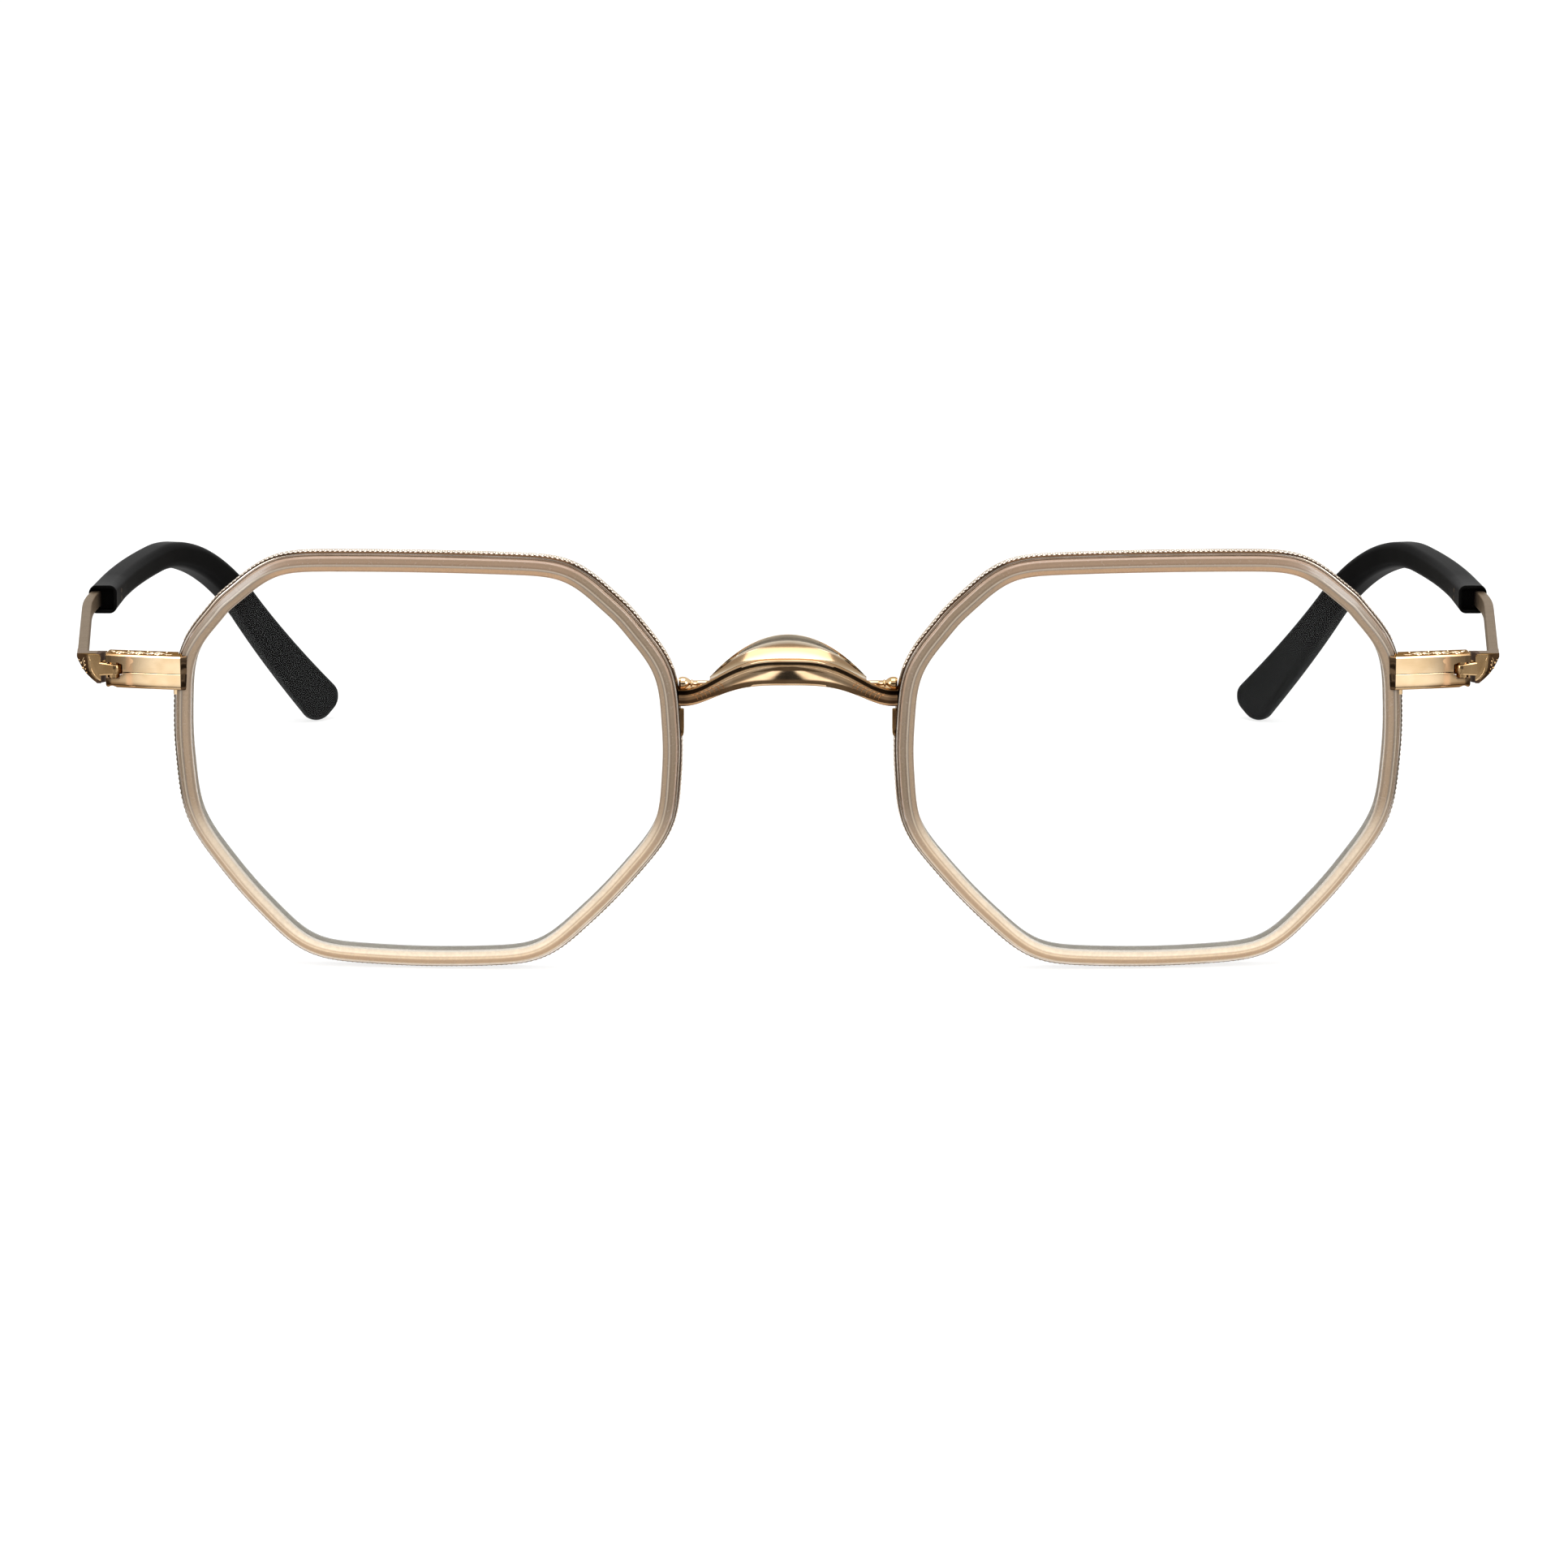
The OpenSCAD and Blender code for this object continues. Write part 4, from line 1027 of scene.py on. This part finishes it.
# The slot takes the knuckle, and the relief clears the hinge block when the temple is folded.
# Both run OPEN millimetres from the hinge pin, past the sides that they open.
OPEN = 4
KNUCKLE_SPACE = 0.79
SLOT_CORNER = 0.66
SLOT_OUTLINE = [
    (OPEN, -KNUCKLE_SPACE), (-SLOT_CORNER, -KNUCKLE_SPACE), (-SLOT_CORNER, -0.5), (-0.93, -0.5),
    (-0.93, 0.5), (-0.88, 0.64), (-0.76, 0.67), (-SLOT_CORNER, 0.68), (-0.56, 0.76),
    (-0.4, KNUCKLE_SPACE), (OPEN, KNUCKLE_SPACE),
]
RELIEF_X = -1.8
RELIEF_Y = 1.0
RELIEF_OUTLINE = [(RELIEF_X, RELIEF_Y), (OPEN, RELIEF_Y), (OPEN, OPEN), (RELIEF_X, OPEN)]
slot_cut = prism(SLOT_OUTLINE, -OPEN, OPEN, 1).moved(IN_END @ HINGE)
fold_relief = prism(RELIEF_OUTLINE, -OPEN, OPEN, 2).moved(IN_END @ HINGE)
rim_cut = eye_space(1.84, -0.02).moved(IN_END @ LENS)
liner_cut = eye_space(1.42, -0.72).moved(IN_END @ LENS)

CLOSING_X = 2.83
CLOSING_WELL_R = 0.82
CLOSING_WELL_D = 0.65
HINGE_WELL_R = 0.57
HINGE_WELL_TOP = -1.0
closing_well = turned([(CLOSING_WELL_R, END_LOW - 1), (CLOSING_WELL_R, END_LOW + CLOSING_WELL_D)])
closing_well = closing_well.moved(Matrix.Translation((CLOSING_X, END_D / 2, 0)))
hinge_well = turned([(HINGE_WELL_R, -6), (HINGE_WELL_R, HINGE_WELL_TOP)]).moved(IN_END @ HINGE)

FOOT_X = (0.2, 0.95)
FOOT_Y = (0.75, 1.9)
FOOT_Z = (END_LOW - 0.55, END_LOW + 0.3)
FOOT_CUT = 0.08
foot_outline = [
    (FOOT_X[0], FOOT_Y[0] + FOOT_CUT), (FOOT_X[0] + FOOT_CUT, FOOT_Y[0]),
    (FOOT_X[1] - FOOT_CUT, FOOT_Y[0]), (FOOT_X[1], FOOT_Y[0] + FOOT_CUT),
    (FOOT_X[1], FOOT_Y[1]), (FOOT_X[0], FOOT_Y[1]),
]
foot = carved(prism(foot_outline, FOOT_Z[0], FOOT_Z[1], 2), [rim_cut, liner_cut])
upper_half = carved(end_half(UPPER_SECTION), [rim_cut, liner_cut, slot_cut, lobe_cut, wedge_cut])
lower_half = carved(end_half(LOWER_SECTION), [
    rim_cut, liner_cut, slot_cut, leaf_cut, wedge_cut, closing_well, hinge_well, fold_relief,
])

VINE_FROM = 1.0
VINE_TO = 6.7
VINE_MID = 0.98
VINE_WAVE = 0.3
VINE_PITCH = 1.9
VINE_WIRE = 0.075
LEAF_WIRE = 0.13
LEAF_L = 0.56
BERRY_R = 0.12


def end_vine():
    """A wavy stem with a leaf and a berry at each turn."""
    height = END_TOP + 0.01
    stem = [(x, VINE_MID + VINE_WAVE * math.sin(2 * math.pi * x / VINE_PITCH), height)
            for x in np.linspace(VINE_FROM, VINE_TO, 64)]
    made = [wire(stem, VINE_WIRE)]
    for k in range(math.ceil(2 * VINE_FROM / VINE_PITCH), int(2 * VINE_TO / VINE_PITCH) + 1):
        x = k * VINE_PITCH / 2
        way = 1 if k % 2 else -1
        leaf = [(x + LEAF_L * s, VINE_MID + way * LEAF_L * s * s, height) for s in np.linspace(0, 1, 7)]
        made.append(wire(leaf, LEAF_WIRE, taper=0.15))
        berry = (x - VINE_PITCH / 8, VINE_MID - way * 1.4 * VINE_WAVE, height)
        made.append(ball(BERRY_R, 10).moved(Matrix.Translation(berry)))
    return joined(made)


bright_scroll = gold_finish("bright_scroll", 0.14, tone(246, 230, 204), tone(232, 208, 172))
brushed = gold_finish("brushed_gold", 0.06, tone(244, 216, 176), tone(228, 196, 152))
along = brushed.mark("along")
deep = brushed.mark("deep")
up = brushed.mark("up")
front_face = (0.6 - deep).band(0.0, 0.1)
# Painted shade darkens the front towards its outer end and along its lower edge, and darkens the top
# face and the sides behind the front.
shade = along.band(1.6, 6.8) * 0.62 + (END_LOW + 0.8 - up).band(0.0, 0.7) * 0.6
shade = shade * front_face + up.band(END_TOP - 0.04, END_TOP - 0.01) * 0.75
shade = shade + deep.band(0.1, 0.6) * 0.35
end_tone = brushed.mix(shade.band(0, 1), brushed.tint, DEEP_GOLD)
lobe = deep.band(0.08, 0.099) * (0.13 - deep).band(0.0, 0.02) * along.band(4.5, 4.7)
end_tone = brushed.mix(lobe * 0.7, end_tone, tone(226, 178, 134))
# Painted shade darkens the wedge in the split and the inner end of the piece.
dark = deep.band(0.2, 0.26) * (0.3 - deep).band(0, 0.02) * along.band(4.2, 4.4) * 0.25
dark = dark + (0.08 - along).band(0.0, 0.04) * (1.6 - deep).band(0, 0.1) * 0.85
brushed.set(Base_Color=brushed.mix(dark.band(0, 1), end_tone, PATINA_AND_SHADE))
brushed.relief(brushed.grain(0.05, (1, 1, 12), 2), 0.0008)
END_MARKS = {"along": lambda p: p[:, 0], "deep": lambda p: p[:, 1], "up": lambda p: p[:, 2]}
upper_half = marked(upper_half, **END_MARKS)
lower_half = marked(joined([lower_half, foot]), **END_MARKS)


def refinish(node, finish):
    """New finish for a part whose solid is kept."""
    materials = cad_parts[node].data.materials
    materials.clear()
    materials.append(finish.material)


for side in SIDES:
    upper = make_piece(f"endpiece_upper_milled_{side}", upper_half.moved(END), side, brushed, 30)
    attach(upper, "front")
    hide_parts(f"endpiece_upper_{side}")
    lower = make_piece(f"endpiece_lower_milled_{side}", lower_half.moved(END), side, brushed, 30)
    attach(lower, "front")
    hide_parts(f"endpiece_lower_{side}")
    chasing = make_piece(f"endpiece_scroll_{side}", end_vine().moved(END), side, bright_scroll, 60)
    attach(chasing, "front")
    refinish(f"closing_screw_{side}", polished)
    refinish(f"hinge_screw_{side}", polished)

# Hinge blocks: milled corners that carry the temple strips. Each has a turned knuckle that
# swings between the prongs, and a flat front with a curved ridge, a leaf and a band of grains.
STRIP_IN = 2.55
BLOCK_OUT = 3.55
BLOCK_TOP = 1.625
BLOCK_LOW = -1.325
BLOCK_FRONT = -0.75
BLOCK_BACK = 4.2
SPLAY = 4.9
CORNER_W = 1.95
CORNER_H = 2.6
CORNER_SWELL = 0.25
PIN_R = 0.6
PIN_H = 0.75


def corner_side(count):
    """Outer side of the block seen from the front, down its rounded lower corner."""
    side_line = []
    span = math.hypot(CORNER_W, CORNER_H)
    for t in np.linspace(0, 1, count):
        swell = CORNER_SWELL * math.sin(math.pi * t)
        side_line.append((BLOCK_OUT - CORNER_W * t + swell * CORNER_H / span,
                          BLOCK_LOW + CORNER_H * (1 - t) - swell * CORNER_W / span))
    return side_line


FACET_SIDE = [(2.34, 1.36), (2.28, 1.1), (2.21, 0.7), (2.17, 0.3), (2.08, -0.05), (1.93, -0.35),
              (1.72, -0.6), (1.46, -0.8), (1.24, -0.92)]
HEEL_R = 1.27
FOLD_GAP = 1.08
FOLDED = math.radians(82)


def heel(y):
    """Inner side of the block, hollowed round the hinge and clear of the end piece when folded."""
    clear_fold = (FOLD_GAP - y * math.cos(FOLDED)) / math.sin(FOLDED)
    return max(math.sqrt(max(0, HEEL_R ** 2 - y * y)), clear_fold)


def block_ring(y, x_in, x_shift, inset):
    """Outline of the block across its length, cut off at its inner side."""
    ring = [(x_in + inset, BLOCK_TOP - inset), (BLOCK_OUT + x_shift - inset, BLOCK_TOP - inset)]
    corner = [(x + x_shift - inset, z) for x, z in corner_side(9)]
    cut_z = np.interp(x_in, [x for x, z in corner[::-1]], [z for x, z in corner[::-1]])
    ring += [(x, z) if x > x_in else (x_in + 0.001 * k, cut_z - 0.001 * k)
             for k, (x, z) in enumerate(corner)]
    ring += [(x_in + inset, max(BLOCK_LOW + inset, cut_z - 0.02)), (x_in + inset, BLOCK_TOP - 0.3)]
    return [(x, y, z) for x, z in ring]


FACET_IN = 1.2
HEEL_BACK = 2.1


def block_shell():
    """Block from its flat front to the end that the strip is soldered to."""
    facet = [(FACET_IN + 0.2, BLOCK_TOP - 0.1), (2.32, BLOCK_TOP - 0.12)] + FACET_SIDE
    facet += [(FACET_IN, -0.94), (FACET_IN, BLOCK_TOP - 0.34)]
    splay = math.tan(math.radians(SPLAY))
    rings = [[(x, BLOCK_FRONT, z) for x, z in facet]]
    for y in (BLOCK_FRONT + 0.42, 0, 0.35, 0.7, 1.0, 1.3, 1.7, HEEL_BACK):
        rings.append(block_ring(y, heel(y), max(0, y) * splay, 0))
    rings += [
        block_ring(HEEL_BACK + 0.06, STRIP_IN + HEEL_BACK * splay, HEEL_BACK * splay, 0),
        block_ring(BLOCK_BACK - 0.1, STRIP_IN + BLOCK_BACK * splay, BLOCK_BACK * splay, 0),
        block_ring(BLOCK_BACK, STRIP_IN + BLOCK_BACK * splay, BLOCK_BACK * splay, 0.1),
    ]
    return loft(rings)


KNUCKLE_R = 0.87
DISC = [(0.7, -0.44), (0.82, -0.41), (0.87, -0.32), (0.87, 0.44), (0.82, 0.54), (0.7, 0.58)]
TONGUE = [(0.0, -0.43, 0.57), (0.5, -0.46, 0.64), (1.0, -0.49, 0.71), (1.34, -0.52, 0.76)]


def knuckle_shell():
    """Pin barrel, and the tongue that joins it to the block and thins towards the pin."""
    rings = []
    for x, low, high in TONGUE:
        reach = KNUCKLE_R - 0.06 * x
        section = [(-reach, low + 0.1), (-reach, high - 0.1), (-reach + 0.07, high),
                   (reach, high), (reach, low), (-reach + 0.07, low)]
        rings.append([(x, y, z) for y, z in section])
    return joined([turned([(PIN_R, -PIN_H), (PIN_R, PIN_H)]), turned(DISC), loft(rings)])


RIDGE_WIRE = 0.06
BAND_GRAINS = [(3.18, -0.3, 1.3, 0.15), (3.3, -0.26, 0.98, 0.13), (3.12, -0.33, 0.7, 0.12),
               (2.8, -0.5, 0.85, 0.1), (2.78, -0.5, 0.45, 0.09), (2.95, -0.4, 0.2, 0.12),
               (2.7, -0.5, 0.1, 0.08), (2.62, -0.5, -0.25, 0.08)]
BAND_LEAF = [(2.62, -0.62, 1.4), (2.85, -0.5, 1.2), (2.98, -0.43, 0.9), (2.85, -0.46, 0.6),
             (2.66, -0.56, 0.5)]


def block_ornament():
    ridge = [(x, BLOCK_FRONT + 0.01, z) for x, z in FACET_SIDE]
    made = [wire(ridge, RIDGE_WIRE), wire(BAND_LEAF, RIDGE_WIRE)]
    for x, y, z, r in BAND_GRAINS:
        made.append(ball(r, 12).moved(Matrix.Translation((x, y, z))))
    return joined(made)


block_gold = gold_finish("block_gold", 0.2, tone(214, 180, 134), tone(190, 154, 108))
block_along = block_gold.mark("along")
block_deep = block_gold.mark("deep")
block_up = block_gold.mark("up")
# Painted shade darkens the outer band of the front, the sides behind the front and the top face.
block_shade = block_along.band(2.32, 2.5) * 0.7
block_shade = block_shade + block_deep.band(-0.7, -0.5) * block_along.band(1.0, 1.2)
block_shade = block_shade + block_up.band(BLOCK_TOP - 0.1, BLOCK_TOP) * 0.75
block_tone = block_gold.mix(block_shade.band(0, 1), block_gold.tint, tone(92, 68, 46))
# Painted shade fills the gap behind the front between the heel and the prongs, above and below the
# tongue: there the block is dark brown, rough and hardly metallic.
recess_painted_shade = block_deep.band(-0.7, -0.6) * (1.75 - block_along).band(0, 0.2)
recess_painted_shade = recess_painted_shade * block_along.band(0.8, 0.95)
off_tongue = block_up.band(0.8, 0.85) + (block_up * -1).band(0.5, 0.6)
recess_painted_shade = (recess_painted_shade * off_tongue).band(0, 1)
block_gold.set(
    Base_Color=block_gold.mix(recess_painted_shade, block_tone, tone(60, 38, 22)),
    Metallic=recess_painted_shade * -0.9 + 1,
    Roughness=recess_painted_shade * 0.5 + 0.22,
)
whole_block = marked(joined([block_shell(), knuckle_shell()]), **END_MARKS).moved(HINGE)
ornament_shell = block_ornament().moved(HINGE)
for side in SIDES:
    block = make_piece(f"hinge_block_milled_{side}", whole_block, side, block_gold, 30)
    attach(block, f"temple_{side}")
    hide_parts(f"hinge_block_{side}")
    ornament = make_piece(f"hinge_block_ornament_{side}", ornament_shell, side, polished, 60)
    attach(ornament, f"temple_{side}")

# Temple strips: flat drawn strip with a satin finish, filed to meet the hinge block's rounded
# corner, soldered to it, and run back inside the tip as its core.
STRIP_T = 1.0
STRIP_H = 1.7
STRIP_UP = 0.55
FILED_L = 6
STRIP_L = 64
STRAIGHT_L = 45
END_TURN = 58
EAR_L = 99.5
BEND_L = 21.6
LIFT = 6.6
LIFT_L = 10
TEMPLE_L = 128.0
DROP_PITCH = -45.5
TURN_GROWTH = 1.6
COURSE_STEPS = 512
CORE_L = 48
CORE_T = 0.8
CORE_H = 1.3
POCKET_D = 1.2


def turn_at(s):
    """Turn of the temple's course about the upright, at a length along it."""
    share = max(0.0, (s - STRAIGHT_L) / (TEMPLE_L - STRAIGHT_L))
    return math.radians(SPLAY - (SPLAY + END_TURN) * share ** TURN_GROWTH)


def pitch_at(s):
    """Rise of the course, which turns down behind the ear."""
    at = (STRIP_L, STRIP_L + LIFT_L, EAR_L - BEND_L / 2, EAR_L + BEND_L / 2)
    return math.radians(np.interp(s, at, (0, LIFT, LIFT, DROP_PITCH)))


def course_dir(s):
    turn, pitch = turn_at(s), pitch_at(s)
    level = math.cos(pitch)
    return np.array((math.sin(turn) * level, math.cos(turn) * level, math.sin(pitch)))


def temple_course():
    splay = math.tan(math.radians(SPLAY))
    places = [np.array((STRIP_IN + STRIP_T / 2 + BLOCK_BACK * splay, BLOCK_BACK, STRIP_UP))]
    step = TEMPLE_L / COURSE_STEPS
    for k in range(COURSE_STEPS):
        places.append(places[-1] + course_dir((k + 0.5) * step) * step)
    return np.array(places)


COURSE = temple_course()


def on_course(s, outward, upward):
    """Point beside the temple's course, at a length along it."""
    at = min(max(s / TEMPLE_L * COURSE_STEPS, 0), COURSE_STEPS)
    place = np.array([np.interp(at, np.arange(COURSE_STEPS + 1), COURSE[:, k]) for k in range(3)])
    out = np.array((math.cos(turn_at(s)), -math.sin(turn_at(s)), 0))
    return place + out * outward + np.cross(out, course_dir(s)) * upward


def round_section(s, a, b, c, d, r, arc=5, filed=0.0):
    """Rectangle with rounded corners across the course, from a to b outwards and c to d upwards."""
    x, z = (a + b) / 2, (c + d) / 2
    w, h = (b - a) / 2 - r, (d - c) / 2 - r
    ring = []
    for k in range(4):
        for e in np.linspace(0, math.pi / 2, arc):
            g = k * math.pi / 2 + e
            out = x + w * (1 if k in (0, 3) else -1) + r * math.cos(g)
            lowest = c + filed * (d - c) * np.interp(out, (a + 0.1, b), (0, 0.92))
            up = z + h * (1 if k < 2 else -1) + r * math.sin(g)
            ring.append(on_course(s, out, max(up, lowest)))
    return ring


def strip_shell():
    """Strip up to the floor of the tip's pocket, and the thinner core behind it."""
    to = STRIP_L + POCKET_D
    body = [round_section(s, -STRIP_T / 2, STRIP_T / 2, -STRIP_H / 2, STRIP_H / 2, 0.16,
                          filed=max(0.0, 1 - (s / FILED_L) ** 2))
            for s in np.linspace(0.06, to, 110)]
    core = [round_section(s, -CORE_T / 2, CORE_T / 2, -CORE_H / 2, CORE_H / 2, 0.1)
            for s in np.linspace(to - 0.3, STRIP_L + CORE_L, 40)]
    return joined([loft(body), loft(core)])


satin = Finish("satin_metal", Metallic=1.0, Specular_Tint=(0.66, 0.58, 0.48, 1))
satin_lines = satin.grain(0.08, (1, 30, 1), 2)
satin.set(
    Base_Color=satin.mix(satin.grain(2).band(0.3, 0.7), tone(124, 108, 92), tone(136, 120, 104)),
    Roughness=satin_lines * 0.15 + 0.26,
)
satin.relief(satin_lines, 0.001)

for side in SIDES:
    strip = make_piece(f"satin_strip_{side}", strip_shell().moved(HINGE), side, satin)
    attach(strip, f"temple_{side}")
    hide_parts(f"temple_strip_{side}")

# Temple tips: matte black plastic sleeves, pushed on over the strip's core, with a pocket at
# the front where the strip goes in, and a rounded rear end.
TIP_W = 3.0
TIP_END_W = 2.1
TIP_R = 0.8
DOME_L = 1.9
DOME_W = 0.6
TIP_HALVES = (1.5, 1.35, 1.35, 1.7, 2.5)
TIP_PROUD = (0.2, 0.45)
NECK_L = 9
TIP_ARC = 7
POCKET_WALL = 0.35
POCKET_R = 0.3
BORE_GAP = 0.04
DEEP_BLACK = (0.0014, 0.0013, 0.0013, 1)
WORN_BLACK = (0.0026, 0.0025, 0.0024, 1)


def tip_out(s):
    return STRIP_T / 2 + np.interp(s, (STRIP_L, STRIP_L + NECK_L), TIP_PROUD)


def tip_ring(s, cut_w=0.0, cut_h=0.0):
    """Section of the tip's outside, drawn in at the sides and at the top and bottom."""
    at = (STRIP_L, STRIP_L + NECK_L, EAR_L - BEND_L / 2, EAR_L + BEND_L / 2, TEMPLE_L)
    half = np.interp(s, at, TIP_HALVES) - cut_h
    width = np.interp(s, (EAR_L, TEMPLE_L), (TIP_W, TIP_END_W))
    out = tip_out(s)
    r = min(TIP_R, width / 2 - cut_w - 0.1)
    return round_section(s, out - width + cut_w, out - cut_w, -half, half, r, TIP_ARC)


def bore_ring(s):
    w, h = CORE_T / 2 + BORE_GAP, CORE_H / 2 + BORE_GAP
    return round_section(s, -w, w, -h, h, 0.1, TIP_ARC)


def pocket_ring(s, grow=0.0):
    inner = tip_out(STRIP_L) - TIP_W + POCKET_WALL - grow
    outer = STRIP_T / 2 + BORE_GAP + grow * 0.5
    half = TIP_HALVES[0] - POCKET_WALL + grow
    return round_section(s, inner, outer, -half, half, POCKET_R, TIP_ARC)


def tip_shell():
    """Tip from the blind end of its bore, out through the pocket and back to its domed end."""
    floor_s = STRIP_L + POCKET_D
    rings = [bore_ring(s) for s in np.linspace(STRIP_L + CORE_L + 0.5, floor_s, 40)]
    rings += [pocket_ring(floor_s), pocket_ring(STRIP_L + 0.08), pocket_ring(STRIP_L, 0.08)]
    rings += [tip_ring(STRIP_L, 0.08, 0.08), tip_ring(STRIP_L + 0.08)]
    rings += [tip_ring(s) for s in np.linspace(STRIP_L + 1, TEMPLE_L - DOME_L - 0.2, 90)]
    for a in np.radians(np.linspace(0, 82, 9)):
        rings.append(tip_ring(TEMPLE_L - DOME_L * (1 - math.sin(a)),
                              DOME_W * (1 - math.cos(a)), DOME_L * (1 - math.cos(a))))
    return loft(rings)


matte = Finish("black_plastic", IOR=1.3, Specular_IOR_Level=0.05)
matte_grain = matte.grain(0.12, detail=3)
matte.set(
    Base_Color=matte.mix(matte.grain(4).band(0.3, 0.7), DEEP_BLACK, WORN_BLACK),
    Roughness=matte_grain * 0.12 + 0.36,
)
matte.relief(matte_grain, 0.006)

for side in SIDES:
    tip = make_piece(f"black_tip_{side}", tip_shell().moved(HINGE), side, matte)
    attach(tip, f"temple_{side}")
    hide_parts(f"temple_tip_{side}")
    refinish(f"tip_pins_{side}", satin)
